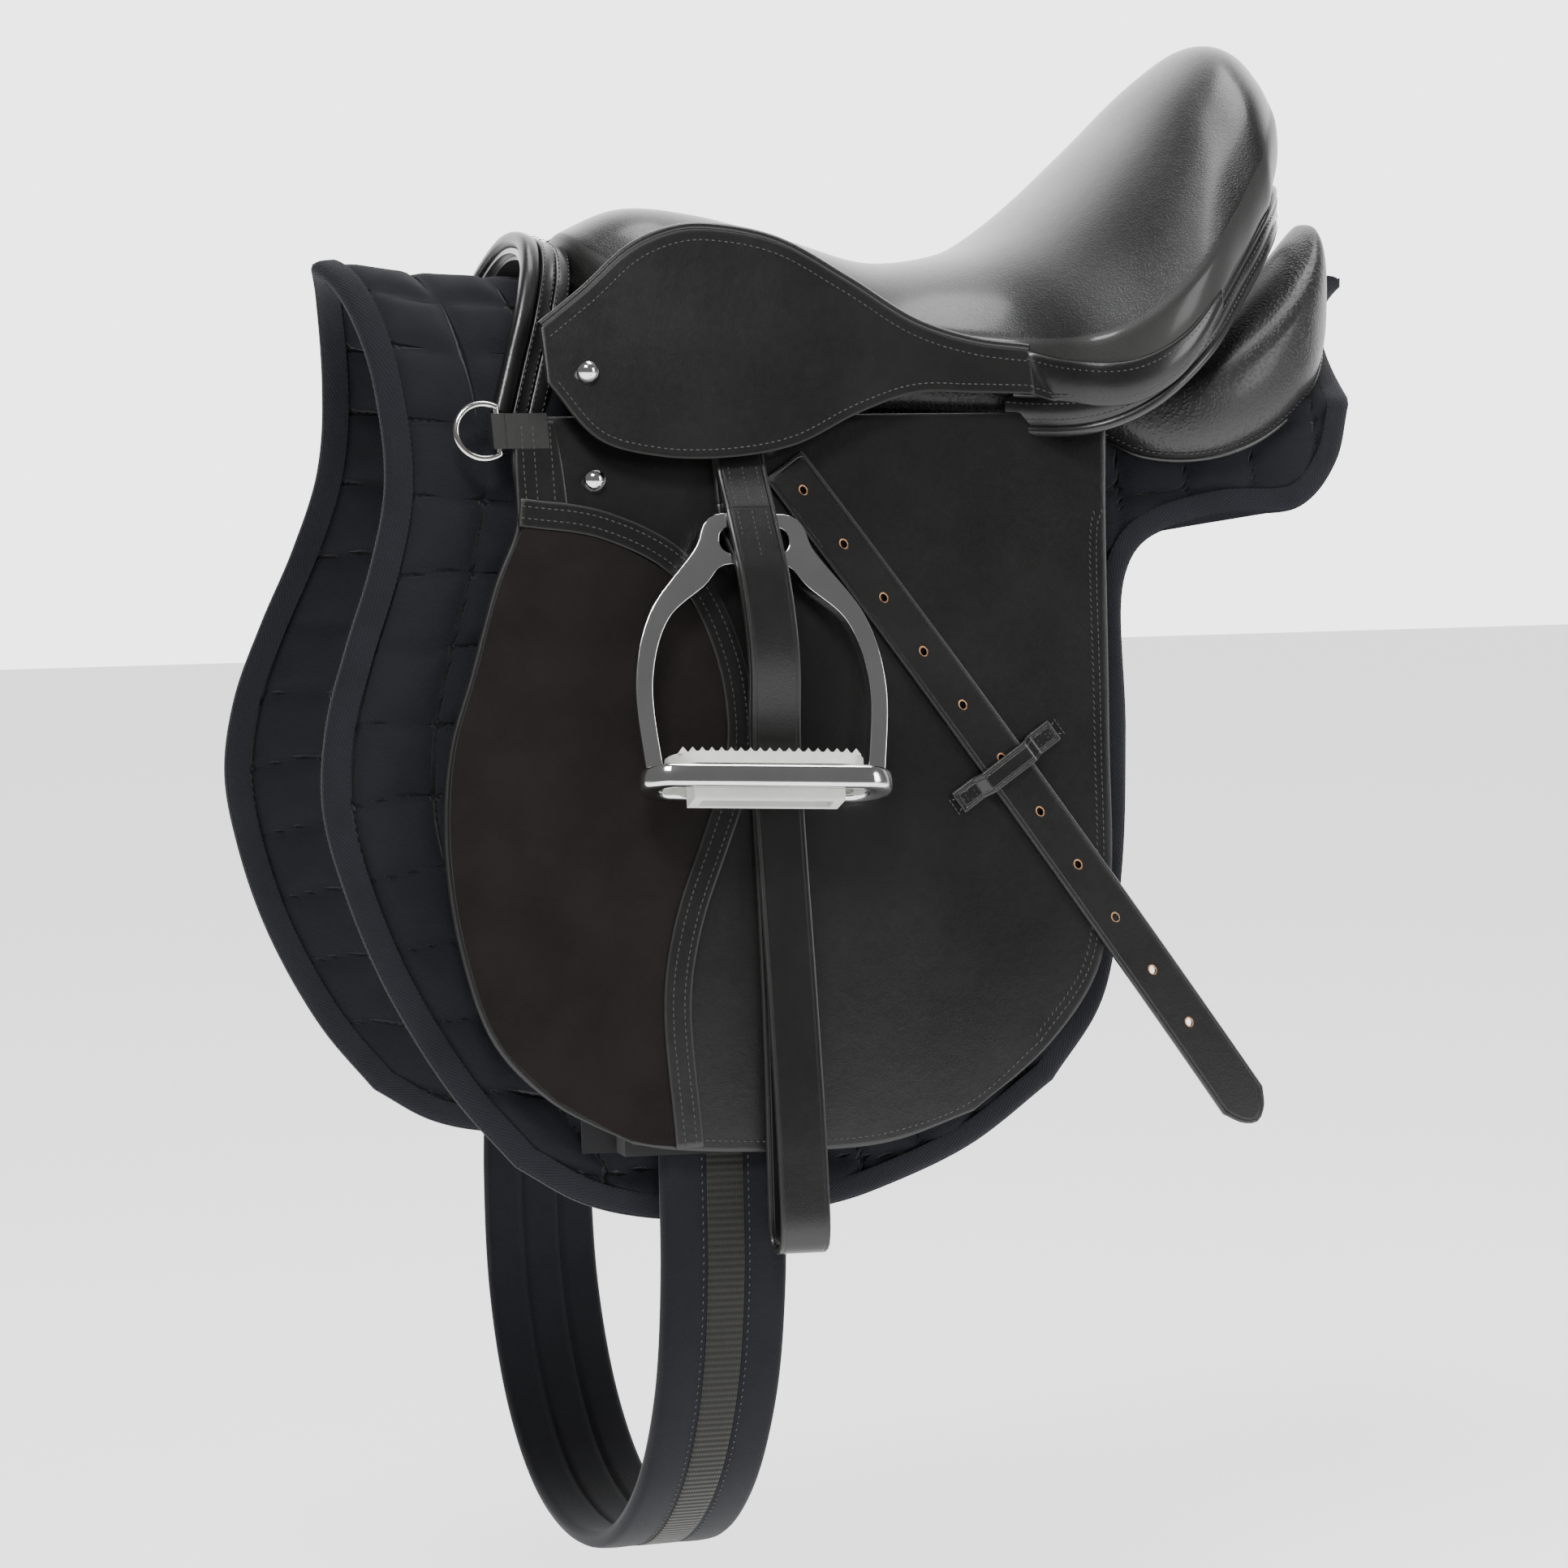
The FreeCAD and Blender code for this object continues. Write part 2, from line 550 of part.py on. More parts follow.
tailHalf = strapWide / 2
tailLength = size("tailLength")
tailEnds = [tailPoint(-20, -tailHalf), tailPoint(tailLength - 26, -tailHalf),
            tailPoint(tailLength - 8, -tailHalf + 5), tailPoint(tailLength, 0),
            tailPoint(tailLength - 8, tailHalf - 5), tailPoint(tailLength - 26, tailHalf),
            tailPoint(-20, tailHalf)]
tailRuns = [[tailEnds[0], tailEnds[1]], [tailEnds[1], tailEnds[2], tailEnds[3]],
            [tailEnds[3], tailEnds[4], tailEnds[5]], [tailEnds[5], tailEnds[6]], [tailEnds[6], tailEnds[0]]]
tailSlab = sideSlab(backIn, backOut, 0, sideBottom).common(block(strapRear + 0.5, 400, -500, strapTop))
tail = tailSlab.common(prism(tailRuns))
for i in range(9):
    rim = []
    for turn in range(8):
        angle = math.radians(45 * turn + 20)
        reach = size("holeWide") / 2
        rim.append(tailPoint(24 + i * size("holePitch") + reach * math.cos(angle), reach * math.sin(angle)))
    tail = tail.cut(prism([[rim[k], rim[(k + 1) % 8]] for k in range(8)]))
keepPair(tail, "leather_tail")

keeperAt = 158
keeperRuns = [[tailPoint(keeperAt, -tailHalf - 20), tailPoint(keeperAt, tailHalf + 20)],
              [tailPoint(keeperAt, tailHalf + 20), tailPoint(keeperAt + size("keeperWide"), tailHalf + 20)],
              [tailPoint(keeperAt + size("keeperWide"), tailHalf + 20),
               tailPoint(keeperAt + size("keeperWide"), -tailHalf - 20)],
              [tailPoint(keeperAt + size("keeperWide"), -tailHalf - 20), tailPoint(keeperAt, -tailHalf - 20)]]
channel = [[tailPoint(0, -tailHalf - 1), tailPoint(300, -tailHalf - 1)],
           [tailPoint(300, -tailHalf - 1), tailPoint(300, tailHalf + 1)],
           [tailPoint(300, tailHalf + 1), tailPoint(0, tailHalf + 1)], [tailPoint(0, tailHalf + 1), tailPoint(0, -tailHalf - 1)]]
keeperOut = backOut + gap + size("keeperThick")
loopStrap = sideSlab(flapOut, keeperOut, 0, sideBottom).common(prism(keeperRuns))
hole = sideSlab(flapOut - 1, keeperOut - size("keeperThick"), 0, sideBottom).common(prism(channel))
keepPair(loopStrap.cut(hole), "tail_keeper")


# ---------------------------------------------------------------- metal parts, made as bodies with sketches
def newBody(label):
    body = doc.addObject("PartDesign::Body", label)
    body.Label = label
    return body


def newSketch(body, name, role="XZ_Plane"):
    sketch = body.newObject("Sketcher::SketchObject", name)
    support = next(f for f in body.Origin.OriginFeatures if f.Role == role)
    sketch.AttachmentSupport = [(support, "")]
    sketch.MapMode = "FlatFace"
    return sketch


def constrain(sketch, kind, name, first, expression):
    """Adds a named dimension and binds it to the sheet."""
    index = sketch.addConstraint(Sketcher.Constraint(kind, *first, 10.0))
    sketch.renameConstraint(index, name)
    sketch.setExpression("Constraints." + name, expression)


def rectangle(sketch, wide, tall, left, low):
    """A rectangle; left and low are how far its lower left corner is from the origin."""
    base = sketch.GeometryCount
    corners = [V(-5, -5, 0), V(5, -5, 0), V(5, 5, 0), V(-5, 5, 0)]
    for i in range(4):
        sketch.addGeometry(Part.LineSegment(corners[i], corners[(i + 1) % 4]))
    for i in range(4):
        sketch.addConstraint(Sketcher.Constraint("Coincident", base + i, 2, base + (i + 1) % 4, 1))
    for i in (0, 2):
        sketch.addConstraint(Sketcher.Constraint("Horizontal", base + i))
    for i in (1, 3):
        sketch.addConstraint(Sketcher.Constraint("Vertical", base + i))
    tag = "r%d" % base
    constrain(sketch, "DistanceX", tag + "wide", (base, 1, base, 2), wide)
    constrain(sketch, "DistanceY", tag + "tall", (base + 1, 1, base + 1, 2), tall)
    constrain(sketch, "DistanceX", tag + "left", (-1, 1, base, 1), "-(%s)" % left)
    constrain(sketch, "DistanceY", tag + "low", (-1, 1, base, 1), "-(%s)" % low)


def circle(sketch, radius, x="0", y="0"):
    base = sketch.GeometryCount
    sketch.addGeometry(Part.Circle(V(1, 1, 0), V(0, 0, 1), 5))
    tag = "c%d" % base
    constrain(sketch, "Radius", tag + "radius", (base,), radius)
    constrain(sketch, "DistanceX", tag + "x", (-1, 1, base, 3), x)
    constrain(sketch, "DistanceY", tag + "y", (-1, 1, base, 3), y)


def pad(body, sketch, length, name, middle=True, kind="PartDesign::Pad"):
    feature = body.newObject(kind, name)
    feature.Profile = sketch
    if middle:
        feature.SideType = "Symmetric"
    feature.setExpression("Length", length)
    body.Tip = feature
    return feature


def turned(yaw=0.0, tilt=0.0, roll=0.0, at=V(0, 0, 0)):
    """Roll about Y, then tilt about X so the foot goes outwards, then yaw about Z."""
    rotation = (FreeCAD.Rotation(V(0, 0, 1), yaw) * FreeCAD.Rotation(V(1, 0, 0), tilt)
                * FreeCAD.Rotation(V(0, 1, 0), roll))
    return FreeCAD.Placement(at, rotation)


yaw = -math.degrees(math.atan(flare))


def curveGeometry(points):
    curve = Part.BSplineCurve()
    curve.interpolate([V(x, y, 0) for x, y in points])
    return curve


def stadium(sketch, long, deep):
    """Two straight sides joined by two half circles, centred on the sketch's origin."""
    radius = deep / 2
    reach = long / 2 - radius
    sketch.addGeometry(Part.LineSegment(V(-reach, radius, 0), V(reach, radius, 0)))
    sketch.addGeometry(Part.LineSegment(V(-reach, -radius, 0), V(reach, -radius, 0)))
    for x, start in ((-reach, math.pi / 2), (reach, -math.pi / 2)):
        rim = Part.Circle(V(x, 0, 0), V(0, 0, 1), radius)
        sketch.addGeometry(Part.ArcOfCircle(rim, start, start + math.pi))


def lowered(sketch, expression):
    sketch.setExpression("AttachmentOffset.Base.z", expression)


# ---------------------------------------------------------------- stirrup iron and tread
ironTall = size("ironTall")
ironHalf = size("ironWide") / 2
ironBar = size("ironBar")
iron = newBody("stirrup_iron_left")
arch = newSketch(iron, "ironArch")
eye = size("eyeWide") / 2
low = -ironTall + 1
shoulders = [(-ironHalf + 4, low), (-ironHalf, -0.6 * ironTall), (-ironHalf + 9, -0.36 * ironTall),
             (-eye - 6, -16), (-eye, -6), (-eye + 6, 0)]
window = [(-ironHalf + 4 + ironBar, low), (-ironHalf + ironBar, -0.6 * ironTall),
          (-ironHalf + 10 + ironBar, -0.38 * ironTall), (-eye - 1, -size("eyeTall") - 8), (-eye + 10, -size("eyeTall"))]
arch.addGeometry(curveGeometry(shoulders))
arch.addGeometry(Part.LineSegment(V(-eye + 6, 0, 0), V(eye - 6, 0, 0)))
arch.addGeometry(curveGeometry([(-x, y) for x, y in reversed(shoulders)]))
arch.addGeometry(Part.LineSegment(V(ironHalf - 4, low, 0), V(ironHalf - 4 - ironBar, low, 0)))
arch.addGeometry(curveGeometry([(-x, y) for x, y in window]))
arch.addGeometry(Part.LineSegment(V(eye - 10, -size("eyeTall"), 0), V(-eye + 10, -size("eyeTall"), 0)))
arch.addGeometry(curveGeometry(list(reversed(window))))
arch.addGeometry(Part.LineSegment(V(-ironHalf + 4 + ironBar, low, 0), V(-ironHalf + 4, low, 0)))
pad(iron, arch, "Sizes.ironThick", "IronPad")
slot = newSketch(iron, "ironSlot")
rectangle(slot, "Sizes.slotWide", "Sizes.slotTall", "Sizes.slotWide / 2", "Sizes.slotTall + 7")
pad(iron, slot, "Sizes.ironThick + 2", "IronSlot", kind="PartDesign::Pocket")
base = newSketch(iron, "ironBase", "XY_Plane")
stadium(base, size("ironWide") + 2, size("baseDeep"))
stadium(base, size("ironWide") - 22, size("baseDeep") - 14)
lowered(base, "-Sizes.ironTall")
pad(iron, base, "Sizes.baseTall", "IronBase", middle=False)

treadHalf = ironHalf - 4 - ironBar - 1
tread = newBody("tread_left")
plate = newSketch(tread, "treadPlate", "XY_Plane")
stadium(plate, 2 * treadHalf, size("baseDeep") - 1)
lowered(plate, "-Sizes.ironTall + Sizes.baseTall")
pad(tread, plate, "Sizes.treadTall", "TreadPlate", middle=False)
teeth = newSketch(tread, "treadTeeth")
toothCount = 19
pitch = (2 * treadHalf - 8) / toothCount
toothLow = -ironTall + size("baseTall") + size("treadTall") - 0.5
crest = toothLow + size("toothTall") + 0.5
corners = [(-treadHalf + 4, toothLow)]
for i in range(toothCount):
    corners.append((-treadHalf + 4 + (i + 0.5) * pitch, crest))
    corners.append((-treadHalf + 4 + (i + 1) * pitch, toothLow + 0.5 if i < toothCount - 1 else toothLow))
for (x0, y0), (x1, y1) in zip(corners, corners[1:] + corners[:1]):
    teeth.addGeometry(Part.LineSegment(V(x0, y0, 0), V(x1, y1, 0)))
pad(tread, teeth, "Sizes.baseDeep - 8", "TreadTeeth")
insert = newSketch(tread, "treadInsert", "XY_Plane")
rectangle(insert, "Sizes.ironWide * 0.6", "Sizes.baseDeep - 17", "Sizes.ironWide * 0.3", "(Sizes.baseDeep - 17) / 2")
rectangle(insert, "Sizes.ironWide * 0.6 - 10", "Sizes.baseDeep - 25", "Sizes.ironWide * 0.3 - 5",
          "(Sizes.baseDeep - 25) / 2")
lowered(insert, "-Sizes.ironTall - 5")
pad(tread, insert, "Sizes.baseTall + 5.5", "TreadInsert", middle=False)

ironX = size("strapMiddle") - 4
ironAt = sidePoint(ironX, crownHeight, backOut + 6.5)
hang = turned(yaw, -size("ironTilt"), size("ironRoll"), ironAt)
for body in (iron, tread):
    body.Placement = hang
    pieces.append(body)
    mirror(body, body.Label.replace("left", "right"))

# ---------------------------------------------------------------- stirrup bar and its catch
bar = newBody("stirrup_bar_left")
barFace = newSketch(bar, "barFace")
rectangle(barFace, "Sizes.barLong", "Sizes.barTall", "Sizes.barLong / 2", "0")
pad(bar, barFace, "Sizes.barThick", "BarPad")
arm = newSketch(bar, "barArm")
rectangle(arm, "8", "Sizes.barTall", "Sizes.barLong / 2 + 8", "0")
armPad = pad(bar, arm, "Sizes.barThick / 2 + 33.5", "BarArm", middle=False)
armPad.Reversed = True
shoulder = newSketch(bar, "barFront")
rectangle(shoulder, "8", "Sizes.barTall", "Sizes.barLong / 2 + 8", "0")
pad(bar, shoulder, "Sizes.barThick", "BarFront")
pinHole = newSketch(bar, "barPinHole")
circle(pinHole, "Sizes.pinRadius + Sizes.runFit / 3", "Sizes.barLong / 2 - 4", "Sizes.barTall / 2")
pad(bar, pinHole, "Sizes.barThick + 2", "BarPinHole", kind="PartDesign::Pocket")
barX = size("strapMiddle")
bar.Placement = turned(yaw, 0, 0, sidePoint(barX, size("barHeight"), size("barInset") + size("barThick") / 2))
pieces.append(bar)
mirror(bar, "stirrup_bar_right")



def primitive(kind, name, base, **bindings):
    """A Part primitive whose sizes are bound to the sheet."""
    item = doc.addObject("Part::" + kind, name)
    item.Placement = base
    for prop, expression in bindings.items():
        item.setExpression(prop, expression)
    return item


catchPlate = primitive("Box", "CatchPlate", FreeCAD.Placement(V(-4, 0, -size("barTall") / 2), FreeCAD.Rotation()),
                       Length="Sizes.catchLong + 4", Width="2", Height="Sizes.barTall")
catchPin = primitive("Cylinder", "CatchPin", FreeCAD.Placement(V(0, 1, 0), FreeCAD.Rotation(V(1, 0, 0), 90)),
                     Radius="Sizes.pinRadius", Height="Sizes.barThick + 0.3")
catch = doc.addObject("Part::MultiFuse", "bar_catch_left")
catch.Label = "bar_catch_left"
catch.Shapes = [catchPlate, catchPin]
barHang = bar.Placement
catchAt = barHang.multVec(V(size("barLong") / 2 - 4, size("barThick") / 2 + 0.3, size("barTall") / 2))
catch.Placement = FreeCAD.Placement(catchAt, barHang.Rotation)
pieces.append(catch)
mirror(catch, "bar_catch_right")

# ---------------------------------------------------------------- studs, D-rings and chapes
studAngle = 90 + 16


def stud(label, x, height, off):
    body = newBody(label)
    profile = newSketch(body, label + "Profile")
    radius = size("studRadius")
    tall = size("studTall")
    dome = (radius ** 2 + tall ** 2) / (2 * tall)
    rim = Part.Circle(V(0, tall - dome, 0), V(0, 0, 1), dome)
    profile.addGeometry(Part.LineSegment(V(0, 0, 0), V(radius, 0, 0)))
    profile.addGeometry(Part.ArcOfCircle(rim, math.atan2(dome - tall, radius), math.pi / 2))
    profile.addGeometry(Part.LineSegment(V(0, tall, 0), V(0, 0, 0)))
    feature = body.newObject("PartDesign::Revolution", label + "Dome")
    feature.Profile = profile
    feature.ReferenceAxis = (profile, ["V_Axis"])
    feature.Angle = 360
    body.Tip = feature
    body.Placement = FreeCAD.Placement(sidePoint(x, height, off), FreeCAD.Rotation(V(1, 0, 0), studAngle))
    return [body, mirrored(body, label + "Twin")]


skirtOff = size("skirtInTop") + (size("skirtInBottom") - size("skirtInTop")) * (110 - 29) / 132 + skirtThick
studs = doc.addObject("Part::Compound", "studs")
studs.Label = "studs"
studs.Links = stud("flapStud", -142, -27, flapOut + 2.1) + stud("skirtStud", -144, 29, skirtOff + 2.1)
pieces.append(studs)

ringHalf = size("ringHalf")
ringWire = size("ringWire")
ringX = -189
ringOff = flapOut - 2
ringLow = sidePoint(ringX, -1 - ringHalf, ringOff)
ringHigh = sidePoint(ringX, -1 + ringHalf, ringOff)
ringUp = (ringHigh - ringLow).normalize()
ringOut = V(-1, flare, 0).normalize()
bow = Part.Arc(ringLow, (ringLow + ringHigh) * 0.5 + ringOut * size("ringReach"), ringHigh).toShape()
section = Part.Wire(Part.Circle(ringLow, bow.tangentAt(bow.FirstParameter), ringWire).toShape())
bow = Part.Wire(bow).makePipeShell([section], True, True)
ringBar = cylinder(ringWire, ringLow - ringUp * 0.1, ringUp, 2 * ringHalf + 0.2)
corners = [Part.makeSphere(ringWire, point) for point in (ringLow, ringHigh)]
keepPair(bow.fuse([ringBar] + corners), "d_ring")
wrapSlab = sideSlab(ringOff - 4, ringOff + 4, 40, -40).common(block(ringX - 4, ringX + 4.5, -10, 8))
tongueSlab = sideSlab(flapOut + 0.05, flapOut + 2.4, 40, -40).common(block(ringX + 3, ringX + 25, -10, 8))
bore = cylinder(ringWire + 0.35, ringLow - ringUp * 20, ringUp, 60)
keepBoth(wrapSlab.fuse(tongueSlab).cut(bore), "d_ring_chapes")

# ---------------------------------------------------------------- pommel arch
lean = size("archLean")
archHalf = size("archHalf")
archTall = size("archTall") - 6
archPoints = [(-archHalf + 1, -archTall), (-0.86 * archHalf, -0.7 * archTall), (-0.75 * archHalf, -0.44 * archTall),
              (-0.56 * archHalf, -0.19 * archTall), (-0.3 * archHalf, -0.04 * archTall), (0, 0)]
archPoints += [(-y, z) for y, z in reversed(archPoints[:-1])]
archCurve = Part.BSplineCurve()
archCurve.interpolate([V(0, y, z) for y, z in archPoints])


def archBand(depth, thick, start, wide, label):
    """A band of the arch, from one depth under its outer face, laid from front to rear."""
    sides = ([], [])
    first, last = archCurve.FirstParameter, archCurve.LastParameter
    for i in range(41):
        at = first + (last - first) * i / 40
        along = archCurve.tangent(at)[0]
        inward = V(0, along.z, -along.y)
        sides[0].append(archCurve.value(at) + inward * depth)
        sides[1].append(archCurve.value(at) + inward * (depth + thick))
    curves = []
    for side in sides:
        curve = Part.BSplineCurve()
        curve.interpolate(side)
        curves.append(curve.toShape())
    ends = [Part.makeLine(sides[0][0], sides[1][0]), Part.makeLine(sides[0][-1], sides[1][-1])]
    face = Part.Face(Part.Wire([curves[0], ends[1], curves[1], ends[0]]))
    band = face.extrude(V(wide, 0, 0))
    band.translate(V(start, 0, 0))
    band.rotate(V(0, 0, 0), V(0, 1, 0), lean)
    band.translate(V(-153, 0, 102))
    return keep(band.cut(padCore).cut(farCore), label)


archBand(0, size("archThick") + 2, -1, size("rollWide"), "pommel_roll")
archBand(0, size("archThick"), size("rollWide") - 0.7, size("stripWide"), "pommel_strip")
arches = [
    archBand(1, size("archThick") - 1, size("rollWide") + size("stripWide") - 0.4, size("bandWide"), "pommel_band"),
    archBand(size("archThick") + 2.3, size("plateThick"), 2, 22, "head_plate"),
]
archBand(size("archThick") + 2.6 + size("plateThick"), 2, 6, 18, "gullet_plate")

# ---------------------------------------------------------------- panels and girth webs
webOff = billetOut + 0.2
web = sideSlab(webOff, webOff + 1.6, 18, -45).common(block(girthFront, girthRear, -45, 18))
keepBoth(web, "girth_webs")
panelRows = [      # x, outer half width, top, bottom
    (-150, 68, 40, 8), (-100, 79, 48, 6), (-40, 86, 46, 2), (40, 98, 36, 0), (100, 106, 30, -4),
    (138, 112, 28, -10), (165, 128, 26, -22), (200, 136, 36, -25), (240, 132, 56, -18),
    (280, 117, 82, 2), (305, 92, 100, 26), (315, 64, 104, 46),
]
sections = []
panelInner = size("panelInner")
for x, outer, top, low in panelRows:
    place = x if x < 138 else 138 + (x - 138) * (size("panelRear") - 138) / (315 - 138)
    middle = 0.5 * (top + low)
    outline = [V(place, -panelInner, top), V(place, -panelInner, 12), V(place, -outer + 14, low),
               V(place, -outer + 3, low + 2), V(place, -outer, middle), V(place, -outer + 8, top - 3),
               V(place, -outer + 22, top)]
    sections.append(Part.makePolygon(outline + outline[:1]))
panel = Part.makeLoft(sections, True, True)
seatOuter = seatLayer(-0.4, wall + 2 * gap + size("bandTall") + size("pipingTall") + 1, inset=-3.5)
doc.recompute()
panel = panel.cut(padCore).cut(seatOuter).cut(tree).cut(bar.Shape)
for arch in arches:
    panel = panel.cut(arch.Shape)
keepPair(max(panel.Solids, key=lambda solid: solid.Volume), "panel")

# ---------------------------------------------------------------- check and write
doc.recompute()
for item in doc.Objects:
    if "Invalid" in item.State or "Error" in item.State:
        raise RuntimeError("%s did not compute: %s" % (item.Label, item.State))
os.makedirs("parts", exist_ok=True)
for piece in pieces:
    shape = piece.Shape
    if shape.isNull() or not shape.isValid() or not shape.Solids:
        raise RuntimeError("%s has no valid solid" % piece.Label)
    shape.exportStep("parts/%s.step" % piece.Label)
    box = shape.BoundBox
    print("%-22s %2d solids %10.0f mm3  x %5.0f %5.0f  y %5.0f %5.0f  z %5.0f %5.0f" % (
        piece.Label, len(shape.Solids), shape.Volume, box.XMin, box.XMax, box.YMin, box.YMax, box.ZMin, box.ZMax))
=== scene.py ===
import functools
import json
import math

import bpy
import numpy as np
from mathutils import Matrix, Vector


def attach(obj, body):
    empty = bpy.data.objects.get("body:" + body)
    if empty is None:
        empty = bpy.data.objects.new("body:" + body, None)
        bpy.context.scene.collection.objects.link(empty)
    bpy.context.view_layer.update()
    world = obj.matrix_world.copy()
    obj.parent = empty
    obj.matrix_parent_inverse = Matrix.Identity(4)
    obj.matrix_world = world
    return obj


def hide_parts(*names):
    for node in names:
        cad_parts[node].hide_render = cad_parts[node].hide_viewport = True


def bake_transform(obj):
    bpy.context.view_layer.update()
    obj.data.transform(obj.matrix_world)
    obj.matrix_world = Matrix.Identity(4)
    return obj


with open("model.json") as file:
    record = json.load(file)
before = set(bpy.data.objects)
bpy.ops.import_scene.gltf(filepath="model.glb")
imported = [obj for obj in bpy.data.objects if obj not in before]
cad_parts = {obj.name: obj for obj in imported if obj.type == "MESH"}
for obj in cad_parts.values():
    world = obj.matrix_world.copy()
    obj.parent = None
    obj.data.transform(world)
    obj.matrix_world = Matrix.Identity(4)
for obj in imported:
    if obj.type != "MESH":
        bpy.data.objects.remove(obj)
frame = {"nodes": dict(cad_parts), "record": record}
for spare in ("Cube", "Light", "Camera"):
    if spare in bpy.data.objects:
        bpy.data.objects.remove(bpy.data.objects[spare])
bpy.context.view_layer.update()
mm = 0.001          # every length below is in millimetres and is turned to metres where a mesh is made
print("frame loaded:", len(frame["nodes"]), "nodes")

# the side of the horse, which every flat piece lies along
side = {"hemHalf": 162, "shoulderDrop": 77, "hemHeight": -460, "rise": 470, "flare": 0.105}


def halfWidth(z):
    return side["hemHalf"] - side["shoulderDrop"] * ((z - side["hemHeight"]) / side["rise"]) ** 2


def onSide(x, z, off):
    return Vector((x, -(halfWidth(z) + side["flare"] * x + off), z)) * mm


def clamp(value, low=0.0, high=1.0):
    return max(low, min(high, value))


def ease(value):
    value = clamp(value)
    return value * value * (3 - 2 * value)


def smoothLine(points, count, closed=False):
    # a curve through all the points, cut into even steps
    given = np.array(points, float)
    if closed:
        padded = np.vstack([given[-1:], given, given[:2]])
    else:
        padded = np.vstack([2 * given[0] - given[1], given, 2 * given[-1] - given[-2]])
    fine = []
    for i in range(1, len(padded) - 2):
        a, b, c, d = padded[i - 1:i + 3]
        gaps = [max(np.linalg.norm(q - p), 1e-9) ** 0.5 for p, q in ((a, b), (b, c), (c, d))]
        leave = (b - a) / gaps[0] - (c - a) / (gaps[0] + gaps[1]) + (c - b) / gaps[1]
        arrive = (c - b) / gaps[1] - (d - b) / (gaps[1] + gaps[2]) + (d - c) / gaps[2]
        leave, arrive = leave * gaps[1], arrive * gaps[1]
        for t in np.linspace(0, 1, 24, endpoint=False):
            fine.append((2 * t**3 - 3 * t**2 + 1) * b + (t**3 - 2 * t**2 + t) * leave
                        + (3 * t**2 - 2 * t**3) * c + (t**3 - t**2) * arrive)
    fine.append(padded[-2])
    fine = np.array(fine)
    run = np.concatenate([[0], np.cumsum(np.linalg.norm(np.diff(fine, axis=0), axis=1))])
    wanted = np.linspace(0, run[-1], count + 1)
    return np.stack([np.interp(wanted, run, fine[:, k]) for k in range(fine.shape[1])], axis=1)


class Patch:
    # four edges given front to rear and bottom to top; u runs to the rear, v runs up
    def __init__(self, bottom, rear, top, front, count=160):
        self.count = count
        self.edges = [smoothLine(line, count) for line in (bottom, rear, top, front)]

    def on(self, edge, t):
        place = clamp(t) * self.count
        i = min(int(place), self.count - 1)
        return self.edges[edge][i] * (1 - place + i) + self.edges[edge][i + 1] * (place - i)

    @functools.lru_cache(None)
    def at(self, u, v):
        bottom, rear, top, front = self.on(0, u), self.on(1, v), self.on(2, u), self.on(3, v)
        corners = ((1 - u) * (1 - v) * self.edges[0][0] + u * (1 - v) * self.edges[0][-1]
                   + (1 - u) * v * self.edges[2][0] + u * v * self.edges[2][-1])
        return (1 - v) * bottom + v * top + (1 - u) * front + u * rear - corners

    def rim(self):
        bottom, rear, top, front = self.edges
        return np.vstack([bottom, rear, top[::-1], front[::-1]])


def rimDistance(points, rim):
    # how far each point is from a closed line
    a, b = rim[:-1], rim[1:]
    run = b - a
    size = np.maximum((run ** 2).sum(1), 1e-9)
    best = np.full(len(points), 1e9)
    for start, step, length in zip(a, run, size):
        t = np.clip(((points - start) @ step) / length, 0, 1)
        best = np.minimum(best, np.linalg.norm(points - start - t[:, None] * step, axis=1))
    return best


def longSides(low, high):
    # the two long edges of a strip, as a line that rimDistance takes
    return np.array([(low, -900), (low, 2000), (low, -900), (high, -900), (high, 2000)], float)


# mesh tools
def deselect():
    if bpy.context.object and bpy.context.object.mode != "OBJECT":
        bpy.ops.object.mode_set(mode="OBJECT")
    bpy.ops.object.select_all(action="DESELECT")


def pick(piece):
    deselect()
    piece.select_set(True)
    bpy.context.view_layer.objects.active = piece


def pickOpenEdges():
    bpy.ops.mesh.select_all(action="DESELECT")
    bpy.ops.mesh.select_non_manifold(extend=False, use_wire=False, use_multi_face=False,
                                     use_non_contiguous=False, use_verts=False)


def modify(piece, kind, **settings):
    pick(piece)
    modifier = piece.modifiers.new(kind.title(), kind)
    for key, value in settings.items():
        setattr(modifier, key, value)
    bpy.ops.object.modifier_apply(modifier=modifier.name)


def newGrid(name, across, along):
    # returns the piece and the place of each vertex between 0 and 1 both ways
    deselect()
    bpy.ops.mesh.primitive_grid_add(x_subdivisions=across, y_subdivisions=along, size=1)
    piece = bpy.context.object
    piece.name = name
    return piece, [(v.co.x + 0.5, v.co.y + 0.5) for v in piece.data.vertices]


def setPoints(piece, points):
    piece.data.vertices.foreach_set("co", np.array(points, np.float32).ravel())
    piece.data.update()


def note(piece, name, values):
    # a number for each vertex that the materials read
    attribute = piece.data.attributes.get(name) or piece.data.attributes.new(name, "FLOAT", "POINT")
    attribute.data.foreach_set("value", np.array(values, np.float32))


def setCloth(piece, flat):
    # the flat pattern, in metres, as the piece's own UV map
    layer = piece.data.uv_layers.active
    for loop in piece.data.loops:
        layer.data[loop.index].uv = flat[loop.vertex_index]


def smooth(piece, angle=40):
    pick(piece)
    bpy.ops.object.shade_smooth_by_angle(angle=math.radians(angle))


